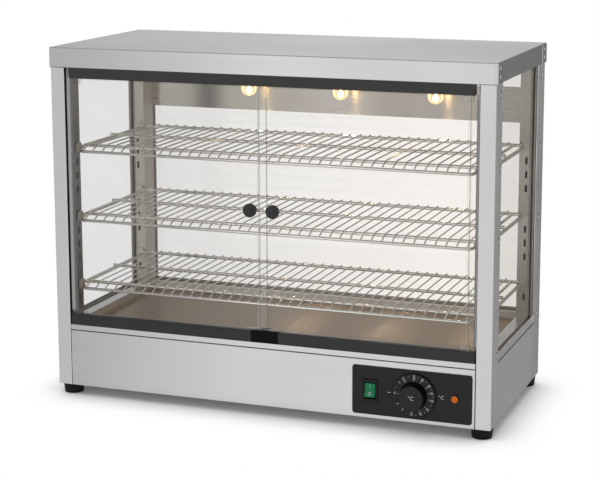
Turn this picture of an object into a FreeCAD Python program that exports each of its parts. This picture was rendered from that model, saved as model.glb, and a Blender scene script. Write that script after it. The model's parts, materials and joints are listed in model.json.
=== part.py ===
import FreeCAD, Part
import math
import os
from FreeCAD import Vector

# A counter-top heated display case: folded steel cabinet, glazed sides and back, two hinged glass
# doors, three wire shelves, lamps under the roof and a heated base with a control plate.
# Millimetres. X runs to the right, Y to the back, Z up. The origin is under the middle of the feet.

# Cabinet
COVER_WIDTH = 640.0
COVER_DEPTH = 290.0
CASE_HEIGHT = 485.0
COVER_LIP = 27.5
COVER_OVERHANG = 1.5
COVER_CORNER = 3.0
SHEET = 1.0
BEND = 2.5
TIGHT_BEND = 0.9
BASE_PANEL_BEND = 1.5
SEAM = 0.8
FOOT_HEIGHT = 15.0

# Corner posts, which are the folded edges of the side panels
POST_FACE = 21.0
POST_SIDE = 35.0
REAR_POST_SIDE = 43.0
RECESS_DEPTH = 12.0
POST_LIP = 4.0

# Heights above the underside of the case
BASE_PANEL_TOP = 81.0
FRONT_SILL_HEIGHT = 8.0
WINDOW_BOTTOM = 84.0
WINDOW_FROM_TOP = 12.0
SILL_BOTTOM = 80.0
SILL_CAP_TOP = 92.0
SILL_WALL_TOP = 96.0
TRAY_LEVEL = 76.0
PANE_BOTTOM = 83.0
PANE_FROM_TOP = 15.0

# Door rails
RAIL_DEPTH = 12.0
RAIL_HEIGHT = 15.5
TOP_RAIL_END_GAP = 7.5
BOTTOM_RAIL_END_GAP = 2.0
RAIL_CORNER = 2.5

# Fixed glass and its seals
GLASS = 4.0
SEAL_WALL = 2.0
SEAL_EDGE = 2.0
SEAL_SHOW = 0.5

# Doors
DOOR_GLASS = 5.0
DOOR_SETBACK = 3.0
DOOR_END_GAP = 1.5
DOOR_LEFT_GAP = 7.0
DOOR_RIGHT_GAP = 13.0
MEETING_LINE = 2.4
MEETING_GAP = 0.5
MEETING_STRIP = 11.0
HINGE_STRIP = 8.0
STRIP_THICKNESS = 3.0
STRIP_GRIP = 4.0
STRIP_WALL = 0.8
PIVOT_INSET = 16.5
PIN_RADIUS = 2.0
PIN_LENGTH = 8.0
PIN_GAP = 0.1
BUSH_RADIUS = 4.0
BUSH_LENGTH = 10.0
SHOE_WIDTH = 14.0
SHOE_DEPTH = 9.0
SHOE_HEIGHT = 6.0
SHOE_LIFT = 0.3
KNOB_RADIUS = 9.5
KNOB_HEIGHT = 8.0
KNOB_FROM_MEETING = 16.4
KNOB_SCREW_RADIUS = 2.0
KNOB_SCREW_GRIP = 5.0
KNOB_WASHER_RADIUS = 6.0
STRIKE_WIDTH = 16.0
STRIKE_HEIGHT = 6.0
STRIKE_THICKNESS = 0.8
CATCH_WIDTH = 40.0
CATCH_FLOOR = 2.0
CATCH_UPSTAND = 6.0
CATCH_GAP = 0.3

# Slotted uprights and shelf supports
UPRIGHT_FACE = 15.0
UPRIGHT_FLANGE = 18.0
SLOT_WIDTH = 3.5
SLOT_HEIGHT = 10.0
SLOT_PITCH = 20.0
SLOTS_PER_SHELF = 4
SLOTS_ABOVE_SILL = 23.0
SLOT_FROM_EDGE = 4.5
SUPPORT_OUTSET = 4.5
SUPPORT_THICKNESS = 2.0
SUPPORT_HEIGHT = 5.0
SUPPORT_FLAG_HEIGHT = 13.0
SUPPORT_TAB = 1.5
SUPPORT_TAB_CORNER = 3.0
FRONT_FLAG_LENGTH = 16.0
FRONT_FLAG_INSET = 1.0
FRONT_SLOT_DEPTH = 26.0
HOOK_REACH = 3.0
HOOK_DROP = 2.5
SUPPORT_GAP = 0.3

# Wire shelves
SHELF_SHARES = (0.1743, 0.4338, 0.6933)
FRAME_WIRE = 2.1
RAIL_WIRE = 2.4
CROSS_WIRE = 1.3
CROSS_PITCH = 14.7
WELD_BITE = 0.3
SHELF_FRONT = 24.0
SHELF_NOSE_RUN = 11.0
SHELF_NOSE_DROP = 8.0
SHELF_REAR_GAP = 6.0
SHELF_SIDE_GAP = 6.5
SHELF_MID_SHARE = 0.495

# Roof: ceiling plate, lamps and the band across the upper back
CEILING_FLANGE = 18.0
LAMP_COUNT = 3
LAMP_PITCH_SHARE = 0.2453
LAMP_OFFSET_SHARE = 0.046
LAMP_FROM_BACK = 47.0
BULB_RADIUS = 12.5
BULB_DROP = 60.0
BULB_NECK_RADIUS = 7.0
BULB_CAP_LENGTH = 15.0
LAMP_HOLE_RADIUS = 13.5
HOLDER_RADIUS = 17.0
HOLDER_HEIGHT = 21.0
BAND_FROM_CEILING = 87.5
BAND_HEIGHT = 51.0
BAND_DEPTH = 3.0

# Floor tray
TRAY_FIT = 0.5
TRAY_RIM = 7.0
TRAY_BACK_GAP = 6.5
LEDGE = 16.0

# Controls, measured from the case underside and across the control plate
PLATE_FROM_POST = 4.0
PLATE_WIDTH = 166.0
PLATE_BOTTOM = 5.0
PLATE_HEIGHT = 67.5
PLATE_THICKNESS = 1.2
PLATE_CORNER = 4.0
CONTROL_LEVEL = 38.5
SWITCH_SHARE = 0.1536
BEZEL_WIDTH = 21.8
BEZEL_HEIGHT = 31.6
BEZEL_PROUD = 2.0
SWITCH_BODY_WIDTH = 18.8
SWITCH_BODY_HEIGHT = 27.2
SWITCH_BODY_DEPTH = 24.0
ROCKER_WIDTH = 15.2
ROCKER_HALF_HEIGHT = 9.8
ROCKER_PROUD = 3.2
ROCKER_TILT = 9.0
ROCKER_GAP = 0.4
ROCKER_PIVOT_DEPTH = 2.0
ROCKER_PIN_RADIUS = 1.2
DIAL_SHARE = 0.5241
DIAL_SKIRT_RADIUS = 30.0
DIAL_SKIRT_HEIGHT = 3.0
DIAL_KNOB_RADIUS = 19.0
DIAL_KNOB_HEIGHT = 14.0
DIAL_GAP = 0.6
SPINDLE_RADIUS = 3.0
STAT_BUSH_RADIUS = 5.0
STAT_BODY = 34.0
STAT_BODY_DEPTH = 30.0
CAPILLARY_RADIUS = 1.0
SENSOR_RADIUS = 3.0
SENSOR_LENGTH = 70.0
INDICATOR_SHARE = 0.8584
INDICATOR_RADIUS = 5.6
INDICATOR_PROUD = 3.4
INDICATOR_BODY_RADIUS = 4.2
INDICATOR_BODY_LENGTH = 16.0

# Heating element under the tray
ELEMENT_RADIUS = 4.0
ELEMENT_LEVEL = 62.0
ELEMENT_FROM_EDGE = 58.0
ELEMENT_FROM_PLATE = 67.5
ELEMENT_END_FROM_PLATE = 27.5
ELEMENT_FIRST_SHARE = 0.174
ELEMENT_PITCH_SHARE = 0.209
ELEMENT_RUNS = 4
STRAP_WIDTH = 12.0
STRAP_THICKNESS = 1.5
STRAP_FROM_LEFT = 85.0
STRAP_FROM_RIGHT = 40.0

# Base
TERMINAL_FROM_PLATE = 87.5
TERMINAL_FROM_BACK = 51.0
TERMINAL_SIZE = (46.0, 18.0, 16.0)
LEAD_RADIUS = 1.4
LAMP_LEAD_RADIUS = 2.2
INLET_FROM_POST = 87.5
INLET_LEVEL = 34.0
INLET_BORE = 5.0
INLET_BODY_RADIUS = 9.0
INLET_NUT_RADIUS = 12.0
INLET_PROUD = 18.0
VENT_LENGTH = 42.0
VENT_WIDTH = 4.0
VENT_PITCH = 12.0
VENT_COUNT = 6
VENT_COLUMN_SHARES = (-0.534, -0.188, 0.157)

# Feet and screws
FOOT_TOP_RADIUS = 15.0
FOOT_BOTTOM_RADIUS = 13.6
FOOT_INSET = 15.5
FOOT_FRONT = 17.5
SCREW_RADIUS = 1.6
SCREW_HEAD_RADIUS = 3.2
SIDE_HEAD_RADIUS = 4.2
SCREW_HEAD_HEIGHT = 1.4
SCREW_LENGTH = 5.0
SCREW_GAP = 0.1
FRONT_SCREW_DEPTH = 28.5
REAR_SCREW_FROM_BACK = 20.0
SCREW_LOWEST = 95.0
SCREWS_FROM_TOP = 44.0
FRONT_SCREW_SHARES = (0.0, 0.165, 0.445, 0.725, 1.0)
REAR_SCREW_SHARES = (0.0, 0.41, 0.71, 1.0)
COVER_SCREW_DEPTH = 14.0
COVER_SCREWS_FROM_TOP = (19.0, 8.0)
FOOT_SCREW_RADIUS = 2.0

# Places worked out from the sizes above
CONTROL_PROUD = PLATE_THICKNESS + DIAL_GAP + DIAL_SKIRT_HEIGHT + DIAL_KNOB_HEIGHT
BODY_HALF = COVER_WIDTH / 2 - COVER_OVERHANG
BODY_DEPTH = COVER_DEPTH - 2 * COVER_OVERHANG
FRONT = CONTROL_PROUD - (CONTROL_PROUD + BODY_DEPTH + INLET_PROUD) / 2
BACK = FRONT + BODY_DEPTH
BASE = FOOT_HEIGHT
ROOF = BASE + CASE_HEIGHT - SHEET
CEILING = BASE + CASE_HEIGHT - COVER_LIP
RETURN_X = BODY_HALF - POST_FACE
OPENING_X = RETURN_X - POST_LIP
POCKET_X = OPENING_X + UPRIGHT_FACE
SIDE_INNER = BODY_HALF - SHEET
FLANGE_INNER = SIDE_INNER - SHEET
LIP_BACK = FRONT + RECESS_DEPTH + SHEET
FRONT_UPRIGHT_BACK = FRONT + POST_SIDE
REAR_UPRIGHT_FRONT = BACK - REAR_POST_SIDE
REAR_PANEL_FRONT = BACK - 2 * SHEET
SEAL_THICKNESS = GLASS + 2 * SEAL_WALL
REAR_SEAL_FRONT = REAR_PANEL_FRONT - SEAL_THICKNESS
RAIL_SEAT = BASE + BASE_PANEL_TOP + FRONT_SILL_HEIGHT
RAIL_TOP = RAIL_SEAT + RAIL_HEIGHT
TOP_RAIL_BOTTOM = CEILING - RAIL_HEIGHT
DOOR_BOTTOM = RAIL_TOP + DOOR_END_GAP
DOOR_TOP = TOP_RAIL_BOTTOM - DOOR_END_GAP
DOOR_FRONT = FRONT + DOOR_SETBACK
DOOR_BACK = DOOR_FRONT + DOOR_GLASS
DOOR_MIDDLE = DOOR_FRONT + DOOR_GLASS / 2
PIVOT_X = RETURN_X - PIVOT_INSET
TRAY_HALF = OPENING_X - TRAY_FIT
PLATE_FRONT = FRONT - PLATE_THICKNESS
SLOT_X = POCKET_X - SLOT_FROM_EDGE
SUPPORT_X = OPENING_X + SUPPORT_OUTSET
TRAY_BACK = REAR_SEAL_FRONT - TRAY_BACK_GAP
KNOB_LEVEL = (DOOR_BOTTOM + DOOR_TOP) / 2
WINDOW_TOP = CASE_HEIGHT - WINDOW_FROM_TOP
PANE_TOP = CASE_HEIGHT - PANE_FROM_TOP
PLATE_LEFT = RETURN_X - PLATE_FROM_POST - PLATE_WIDTH
SWITCH_X = PLATE_LEFT + PLATE_WIDTH * SWITCH_SHARE
DIAL_X = PLATE_LEFT + PLATE_WIDTH * DIAL_SHARE
INDICATOR_X = PLATE_LEFT + PLATE_WIDTH * INDICATOR_SHARE
LAMP_PITCH = 2 * OPENING_X * LAMP_PITCH_SHARE
LAMP_ROW_OFFSET = 2 * OPENING_X * LAMP_OFFSET_SHARE
LAMP_DEPTH = BODY_DEPTH - LAMP_FROM_BACK
ELEMENT_LEFT = ELEMENT_FROM_EDGE - TRAY_HALF
ELEMENT_RIGHT = PLATE_LEFT - ELEMENT_FROM_PLATE
ELEMENT_END = PLATE_LEFT - ELEMENT_END_FROM_PLATE
ELEMENT_RUN_PITCH = BODY_DEPTH * ELEMENT_PITCH_SHARE
STRAP_PLACES = (ELEMENT_LEFT + STRAP_FROM_LEFT, ELEMENT_RIGHT - STRAP_FROM_RIGHT)
TERMINAL_X = PLATE_LEFT - TERMINAL_FROM_PLATE
TERMINAL_DEPTH = BODY_DEPTH - TERMINAL_FROM_BACK
INLET_X = RETURN_X - INLET_FROM_POST
VENT_COLUMNS = [BODY_HALF * share for share in VENT_COLUMN_SHARES]
SCREW_SPAN = CASE_HEIGHT - SCREWS_FROM_TOP - SCREW_LOWEST
X = Vector(1, 0, 0)
Y = Vector(0, 1, 0)
Z = Vector(0, 0, 1)
ORIGIN = Vector(0, 0, 0)


def block(x0, x1, y0, y1, z0, z1):
    """A box between two values on each axis, given in either order."""
    low = Vector(min(x0, x1), min(y0, y1), min(z0, z1))
    return Part.makeBox(abs(x1 - x0), abs(y1 - y0), abs(z1 - z0), low)


def rod(radius, base, axis, length):
    """A round bar from base along axis."""
    return Part.makeCylinder(radius, length, base, axis)


def ring(outer, inner, base, axis, length):
    """A round tube from base along axis."""
    return rod(outer, base, axis, length).cut(rod(inner, base, axis, length))


def join(shapes):
    """One solid from shapes that touch or overlap."""
    return shapes[0].fuse(shapes[1:]).removeSplitter()


def mirrored(shape):
    """The same shape on the other side of the case."""
    return shape.mirror(ORIGIN, X)


def both_sides(shape):
    """A right-hand shape and its left-hand twin, as a list."""
    return [shape, mirrored(shape)]


def offset_corner(before, corner, after, distance):
    """The corner of a bent line, moved to its left by distance."""
    def left(start, end):
        run = Vector(end[0] - start[0], end[1] - start[1], 0).normalize()
        return Vector(-run.y, run.x, 0)
    first = left(before, corner) if before else left(corner, after)
    second = left(corner, after) if after else first
    step = (first + second) * (distance / (1 + first.dot(second)))
    return (corner[0] + step.x, corner[1] + step.y)


def folded(path, plane, start, end, sheet=SHEET):
    """Sheet metal folded along path, with its thickness on the left of the path.

    The path lies in plane, and the sheet runs from start to end along the third axis.
    """
    inner = []
    for i, corner in enumerate(path):
        before = path[i - 1] if i else None
        after = path[i + 1] if i + 1 < len(path) else None
        inner.append(offset_corner(before, corner, after, sheet))
    outline = path + inner[::-1]
    place = {
        "xy": lambda u, v: Vector(u, v, start),
        "yz": lambda u, v: Vector(start, u, v),
        "xz": lambda u, v: Vector(u, start, v),
    }[plane]
    along = {"xy": Z, "yz": X, "xz": Y}[plane]
    points = [place(u, v) for u, v in outline]
    face = Part.Face(Part.makePolygon(points + points[:1]))
    return face.extrude(along * (end - start))


def upright_edges(shape, x, y):
    """The edges of shape that stand upright at one place."""
    found = []
    for edge in shape.Edges:
        ends = [v.Point for v in edge.Vertexes]
        if len(ends) == 2 and all(abs(p.x - x) < 0.01 and abs(p.y - y) < 0.01 for p in ends):
            found.append(edge)
    return found


def edges_along(shape, axis):
    """The straight edges of shape that run along axis."""
    found = []
    for edge in shape.Edges:
        ends = [v.Point for v in edge.Vertexes]
        if len(ends) == 2 and (ends[1] - ends[0]).cross(axis).Length < 0.001:
            found.append(edge)
    return found


def bent_wire(points, bend, radius):
    """A round wire through points, with each inner corner bent to an arc."""
    edges = []
    start = points[0]
    for before, corner, after in zip(points, points[1:], points[2:]):
        to_before = (before - corner).normalize()
        to_after = (after - corner).normalize()
        half = to_before.getAngle(to_after) / 2
        reach = bend / math.tan(half)
        middle = (to_before + to_after).normalize()
        centre = corner + middle * (bend / math.sin(half))
        first = corner + to_before * reach
        last = corner + to_after * reach
        edges.append(Part.LineSegment(start, first).toShape())
        edges.append(Part.Arc(first, centre - middle * bend, last).toShape())
        start = last
    edges.append(Part.LineSegment(start, points[-1]).toShape())
    path = Part.Wire(edges)
    along = (points[1] - points[0]).normalize()
    profile = Part.Wire([Part.makeCircle(radius, points[0], along)])
    return path.makePipeShell([profile], True, False)


def screw(base, axis, head_radius=SCREW_HEAD_RADIUS):
    """A dome-headed screw: base is where the head sits, axis points out of the metal."""
    head = rod(head_radius, base, axis, SCREW_HEAD_HEIGHT)
    rim = [e for e in head.Edges if (e.CenterOfMass - base).dot(axis) > SCREW_HEAD_HEIGHT / 2
           and len(e.Vertexes) == 1]
    head = head.makeFillet(SCREW_HEAD_HEIGHT * 0.6, rim)
    shank = rod(SCREW_RADIUS, base, axis * -1, SCREW_LENGTH)
    return join([head, shank])


def screw_hole(base, axis, reach):
    """A hole through the metal behind a screw's seat."""
    return rod(SCREW_RADIUS + SCREW_GAP, base + axis, axis * -1, reach)


def side_screw_places():
    """Where the right side panel's screws sit."""
    places = []
    for y, shares in ((FRONT + FRONT_SCREW_DEPTH, FRONT_SCREW_SHARES),
                      (BACK - REAR_SCREW_FROM_BACK, REAR_SCREW_SHARES)):
        places += [Vector(BODY_HALF, y, BASE + SCREW_LOWEST + SCREW_SPAN * share) for share in shares]
    return places


def cover_screw_places():
    """Where the cover's screws sit on its right side."""
    depths = (FRONT + COVER_SCREW_DEPTH, BACK - COVER_SCREW_DEPTH)
    top = BASE + CASE_HEIGHT
    return [Vector(COVER_WIDTH / 2, y, top - down) for y in depths for down in COVER_SCREWS_FROM_TOP]


def foot_places():
    """The middles of the four feet."""
    x = BODY_HALF - FOOT_INSET
    return [Vector(side * x, y, 0) for side in (-1, 1) for y in (FRONT + FOOT_FRONT, BACK - FOOT_FRONT)]


def shelf_levels():
    """The heights of the slots that carry the shelves, from the lowest shelf up."""
    floor = BASE + TRAY_LEVEL
    return [floor + (CEILING - floor) * share for share in SHELF_SHARES]


def slot_levels():
    """The heights of all slots in an upright: a few below each shelf."""
    levels = []
    for shelf in shelf_levels():
        for step in range(SLOTS_PER_SHELF):
            level = shelf - step * SLOT_PITCH
            if level > BASE + SILL_CAP_TOP + SLOTS_ABOVE_SILL:
                levels.append(level)
    return levels


def lamp_places():
    """The middles of the lamps, at the ceiling."""
    first = LAMP_ROW_OFFSET - LAMP_PITCH * (LAMP_COUNT - 1) / 2
    return [Vector(first + i * LAMP_PITCH, FRONT + LAMP_DEPTH, CEILING) for i in range(LAMP_COUNT)]


# Cabinet


def make_top_cover():
    half = COVER_WIDTH / 2
    front = FRONT - COVER_OVERHANG
    back = BACK + COVER_OVERHANG
    outer = block(-half, half, front, back, CEILING, BASE + CASE_HEIGHT)
    outer = outer.makeFillet(COVER_CORNER, edges_along(outer, Z))
    top = [e for e in outer.Edges if abs(e.BoundBox.ZMin - BASE - CASE_HEIGHT) < 0.01]
    outer = outer.makeFillet(SHEET * 1.5, top)
    inner = block(-half + SHEET, half - SHEET, front + SHEET, back - SHEET, CEILING, ROOF)
    inner = inner.makeFillet(COVER_CORNER - SHEET, edges_along(inner, Z))
    cover = outer.cut(inner)
    holes = [screw_hole(p, X, SCREW_LENGTH) for p in cover_screw_places()]
    return cover.cut(holes + [mirrored(h) for h in holes])


def make_side_panel():
    path = [
        (OPENING_X, FRONT + RECESS_DEPTH), (RETURN_X, FRONT + RECESS_DEPTH), (RETURN_X, FRONT),
        (BODY_HALF, FRONT), (BODY_HALF, BACK), (OPENING_X, BACK),
    ]
    panel = folded(path, "xy", BASE, ROOF)
    for y, inner_y in ((FRONT, FRONT + SHEET), (BACK, BACK - SHEET)):
        panel = panel.makeFillet(BEND, upright_edges(panel, BODY_HALF, y))
        panel = panel.makeFillet(BEND - SHEET, upright_edges(panel, SIDE_INNER, inner_y))
    panel = panel.makeFillet(TIGHT_BEND, upright_edges(panel, RETURN_X, FRONT))
    window = block(SIDE_INNER - SHEET / 2, BODY_HALF + SHEET, FRONT_UPRIGHT_BACK, REAR_UPRIGHT_FRONT,
                   BASE + WINDOW_BOTTOM, BASE + WINDOW_TOP)
    holes = [screw_hole(p, X, SCREW_LENGTH) for p in side_screw_places() + cover_screw_places()]
    return panel.cut([window] + holes)


def make_panel_screws():
    """The screws in the side panels, with broad heads, and in the cover's sides."""
    shapes = []
    for place in side_screw_places():
        shapes += both_sides(screw(place, X, SIDE_HEAD_RADIUS))
    for place in cover_screw_places():
        shapes += both_sides(screw(place, X))
    return Part.makeCompound(shapes)


def make_front_upright():
    top = CEILING
    bottom = BASE + SHEET
    flange_end = FRONT_UPRIGHT_BACK - SEAL_EDGE * 2
    path = [
        (POCKET_X, FRONT_UPRIGHT_BACK), (OPENING_X, FRONT_UPRIGHT_BACK), (OPENING_X, LIP_BACK),
        (SIDE_INNER, LIP_BACK), (SIDE_INNER, flange_end),
    ]
    upright = folded(path, "xy", bottom, top)
    y = FRONT + FRONT_SLOT_DEPTH
    cuts = [block(OPENING_X - SHEET, OPENING_X + 2 * SHEET, y - SLOT_WIDTH / 2, y + SLOT_WIDTH / 2,
                  z - SLOT_HEIGHT / 2, z + SLOT_HEIGHT / 2) for z in slot_levels()]
    cuts += [screw_hole(p, X, SCREW_LENGTH) for p in side_screw_places()]
    return upright.cut(cuts)


def make_rear_upright():
    top = CEILING
    bottom = BASE + SHEET
    cross = REAR_UPRIGHT_FRONT + UPRIGHT_FLANGE
    path = [
        (OPENING_X, REAR_SEAL_FRONT), (OPENING_X, REAR_UPRIGHT_FRONT), (POCKET_X, REAR_UPRIGHT_FRONT),
        (POCKET_X, cross), (SIDE_INNER, cross), (SIDE_INNER, REAR_PANEL_FRONT - SHEET),
    ]
    upright = folded(path, "xy", bottom, top)
    cuts = [block(SLOT_X - SLOT_WIDTH / 2, SLOT_X + SLOT_WIDTH / 2,
                  REAR_UPRIGHT_FRONT - SHEET, REAR_UPRIGHT_FRONT + 2 * SHEET,
                  z - SLOT_HEIGHT / 2, z + SLOT_HEIGHT / 2) for z in slot_levels()]
    cuts += [screw_hole(p, X, SCREW_LENGTH) for p in side_screw_places()]
    return upright.cut(cuts)


def switch_cutout(front, back):
    """The opening that the switch body passes through."""
    half_width = SWITCH_BODY_WIDTH / 2 + SCREW_GAP
    half_height = SWITCH_BODY_HEIGHT / 2 + SCREW_GAP
    z = BASE + CONTROL_LEVEL
    return block(SWITCH_X - half_width, SWITCH_X + half_width, front, back, z - half_height, z + half_height)


def control_holes(front, back):
    """The openings for the switch, the thermostat's bush and the indicator."""
    z = BASE + CONTROL_LEVEL
    bush = rod(STAT_BUSH_RADIUS + SCREW_GAP, Vector(DIAL_X, front, z), Y, back - front)
    lamp = rod(INDICATOR_BODY_RADIUS + SCREW_GAP, Vector(INDICATOR_X, front, z), Y, back - front)
    return [switch_cutout(front, back), bush, lamp]


def make_front_panel():
    half = RETURN_X - SEAM
    top = BASE + BASE_PANEL_TOP
    flange = FRONT + RECESS_DEPTH
    panel = join([
        block(-half, half, FRONT, FRONT + SHEET, BASE, top),
        block(-half, half, FRONT + SHEET, flange, top - SHEET, top),
        block(-half, -half + SHEET, FRONT + SHEET, flange, BASE + SHEET, top - SHEET),
        block(half - SHEET, half, FRONT + SHEET, flange, BASE + SHEET, top - SHEET),
    ])
    panel = panel.makeFillet(TIGHT_BEND, upright_edges(panel, half, FRONT) + upright_edges(panel, -half, FRONT))
    brow = [e for e in edges_along(panel, X) if abs(e.CenterOfMass.y - FRONT) < 0.01
            and abs(e.CenterOfMass.z - top) < 0.01]
    panel = panel.makeFillet(BASE_PANEL_BEND, brow)
    return panel.cut(control_holes(FRONT - SHEET, FRONT + 2 * SHEET))


def make_front_sill():
    bottom = BASE + BASE_PANEL_TOP
    ledge = BASE + TRAY_LEVEL
    path = [
        (FRONT, bottom), (FRONT, RAIL_SEAT), (LIP_BACK + SHEET, RAIL_SEAT), (LIP_BACK + SHEET, ledge),
        (LIP_BACK + SHEET + LEDGE, ledge),
    ]
    reverse = path[::-1]
    sill = folded(reverse, "yz", -RETURN_X + SEAM, RETURN_X - SEAM)
    wide = RETURN_X + SHEET
    behind = [block(side * TRAY_HALF, side * wide, FRONT + RECESS_DEPTH, LIP_BACK + LEDGE * 2,
                    BASE, RAIL_SEAT + SHEET) for side in (-1, 1)]
    return sill.cut(behind)


def make_rear_panel():
    half = SIDE_INNER - BEND
    panel = block(-half, half, REAR_PANEL_FRONT, REAR_PANEL_FRONT + SHEET, BASE + SHEET, BASE + SILL_WALL_TOP)
    inlet = rod(INLET_BODY_RADIUS + SCREW_GAP, Vector(INLET_X, REAR_PANEL_FRONT - SHEET, BASE + INLET_LEVEL),
                Y, 3 * SHEET)
    cuts = [inlet]
    for x in VENT_COLUMNS:
        for i in range(VENT_COUNT - 2):
            z = BASE + INLET_LEVEL - VENT_PITCH + i * VENT_PITCH
            cuts.append(block(x - VENT_LENGTH / 2, x + VENT_LENGTH / 2, REAR_PANEL_FRONT - SHEET, BACK,
                              z, z + VENT_WIDTH))
    return panel.cut(cuts)


def make_bottom_plate():
    back = REAR_PANEL_FRONT + SHEET
    plate = block(-SIDE_INNER, SIDE_INNER, FRONT + SHEET, back, BASE, BASE + SHEET)
    plate = plate.makeFillet(BEND - SHEET, upright_edges(plate, SIDE_INNER, back)
                             + upright_edges(plate, -SIDE_INNER, back))
    cuts = [block(side * TRAY_HALF, side * BODY_HALF, FRONT, LIP_BACK, BASE - SHEET, BASE + 2 * SHEET)
            for side in (-1, 1)]
    for place in foot_places():
        cuts.append(rod(FOOT_SCREW_RADIUS + SCREW_GAP, place + Z * (BASE - SHEET), Z, 3 * SHEET))
    middle = (FRONT + BACK) / 2
    for x in VENT_COLUMNS:
        for i in range(VENT_COUNT):
            y = middle + (i - (VENT_COUNT - 1) / 2) * VENT_PITCH
            cuts.append(block(x - VENT_LENGTH / 2, x + VENT_LENGTH / 2, y - VENT_WIDTH / 2, y + VENT_WIDTH / 2,
                              BASE - SHEET, BASE + 2 * SHEET))
    return plate.cut(cuts)


def make_floor_tray():
    front = LIP_BACK + SHEET + PIN_GAP * 3
    bottom = BASE + TRAY_LEVEL
    return join([
        block(-TRAY_HALF, TRAY_HALF, front, TRAY_BACK, bottom, bottom + SHEET),
        block(-TRAY_HALF, TRAY_HALF, TRAY_BACK - SHEET, TRAY_BACK, bottom, bottom + TRAY_RIM),
        block(-TRAY_HALF, -TRAY_HALF + SHEET, front, TRAY_BACK, bottom, bottom + TRAY_RIM),
        block(TRAY_HALF - SHEET, TRAY_HALF, front, TRAY_BACK, bottom, bottom + TRAY_RIM),
    ])


def make_side_sill():
    """The channel that holds the side glass, capped over towards the tray."""
    bottom = BASE + SILL_BOTTOM
    cap = BASE + SILL_CAP_TOP
    start = FRONT_UPRIGHT_BACK
    end = REAR_UPRIGHT_FRONT
    pocket = POCKET_X
    return join([
        block(FLANGE_INNER, SIDE_INNER, start, end, bottom, BASE + SILL_WALL_TOP),
        block(pocket - SHEET, FLANGE_INNER, start, end, bottom, bottom + SHEET),
        block(pocket - SHEET, pocket, start, end, bottom + SHEET, cap - SHEET),
        block(TRAY_HALF, pocket, start, end, cap - SHEET, cap),
        block(TRAY_HALF, TRAY_HALF + SHEET, start, end, BASE + TRAY_LEVEL, cap - SHEET),
    ])


def make_rear_sill():
    """The channel that holds the rear glass, with a ledge under the back of the tray."""
    bottom = BASE + SILL_BOTTOM
    cap = BASE + SILL_CAP_TOP
    ledge = BASE + TRAY_LEVEL
    half = OPENING_X
    return join([
        block(-half, half, REAR_SEAL_FRONT - SHEET, REAR_PANEL_FRONT, bottom, bottom + SHEET),
        block(-half, half, REAR_SEAL_FRONT - SHEET, REAR_SEAL_FRONT, bottom + SHEET, cap - SHEET),
        block(-half, half, TRAY_BACK, REAR_SEAL_FRONT, cap - SHEET, cap),
        block(-half, half, TRAY_BACK, TRAY_BACK + SHEET, ledge - SHEET, cap - SHEET),
        block(-half, half, TRAY_BACK - LEDGE, TRAY_BACK, ledge - SHEET, ledge),
    ])


# Roof


def make_ceiling_plate():
    front_half = TRAY_HALF
    flange_top = CEILING + CEILING_FLANGE
    plate = join([
        block(-front_half, front_half, FRONT + SHEET, LIP_BACK + SHEET, CEILING, CEILING + SHEET),
        block(-POCKET_X, POCKET_X, LIP_BACK + SHEET, REAR_SEAL_FRONT, CEILING, CEILING + SHEET),
        block(-front_half, front_half, FRONT + SHEET, FRONT + 2 * SHEET, CEILING + SHEET, flange_top),
        block(-POCKET_X, POCKET_X, REAR_SEAL_FRONT - SHEET, REAR_SEAL_FRONT, CEILING + SHEET, flange_top),
        block(-POCKET_X, -POCKET_X + SHEET, FRONT_UPRIGHT_BACK, REAR_UPRIGHT_FRONT, CEILING + SHEET, flange_top),
        block(POCKET_X - SHEET, POCKET_X, FRONT_UPRIGHT_BACK, REAR_UPRIGHT_FRONT, CEILING + SHEET, flange_top),
    ])
    cuts = [rod(LAMP_HOLE_RADIUS, p - Z * SHEET, Z, 3 * SHEET) for p in lamp_places()]
    cuts.append(rod(LAMP_LEAD_RADIUS + SCREW_GAP, lead_drop(CEILING - SHEET), Z, 3 * SHEET))
    return plate.cut(cuts)


def lead_drop(z):
    """Where the lamp lead passes down inside the left rear post."""
    return Vector(-(OPENING_X + UPRIGHT_FACE / 2), REAR_UPRIGHT_FRONT + UPRIGHT_FLANGE, z)


def make_rear_band():
    bottom = CEILING - BAND_FROM_CEILING
    top = bottom + BAND_HEIGHT
    front = REAR_SEAL_FRONT - BAND_DEPTH
    path = [
        (REAR_SEAL_FRONT, top), (front, top), (front, bottom), (REAR_SEAL_FRONT, bottom),
    ]
    return folded(path, "yz", -OPENING_X, OPENING_X)


def make_lamp_bulbs():
    """Small tubular bulbs: a rounded glass end, a shoulder and a screw cap."""
    bulbs = []
    for place in lamp_places():
        tip = -BULB_DROP
        shoulder = -BULB_RADIUS
        cap = SHEET + BULB_CAP_LENGTH
        outline = [
            Part.Arc(Vector(0, 0, tip), Vector(BULB_RADIUS * math.sin(math.pi / 4), 0,
                     tip + BULB_RADIUS * (1 - math.cos(math.pi / 4))),
                     Vector(BULB_RADIUS, 0, tip + BULB_RADIUS)).toShape(),
        ]
        corners = [
            (BULB_RADIUS, tip + BULB_RADIUS), (BULB_RADIUS, shoulder), (BULB_NECK_RADIUS, 0),
            (BULB_NECK_RADIUS, cap), (0, cap), (0, tip),
        ]
        for a, b in zip(corners, corners[1:]):
            outline.append(Part.LineSegment(Vector(a[0], 0, a[1]), Vector(b[0], 0, b[1])).toShape())
        face = Part.Face(Part.Wire(outline))
        bulb = face.revolve(ORIGIN, Z, 360)
        bulb.translate(place)
        bulbs.append(bulb)
    return Part.makeCompound(bulbs)


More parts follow.
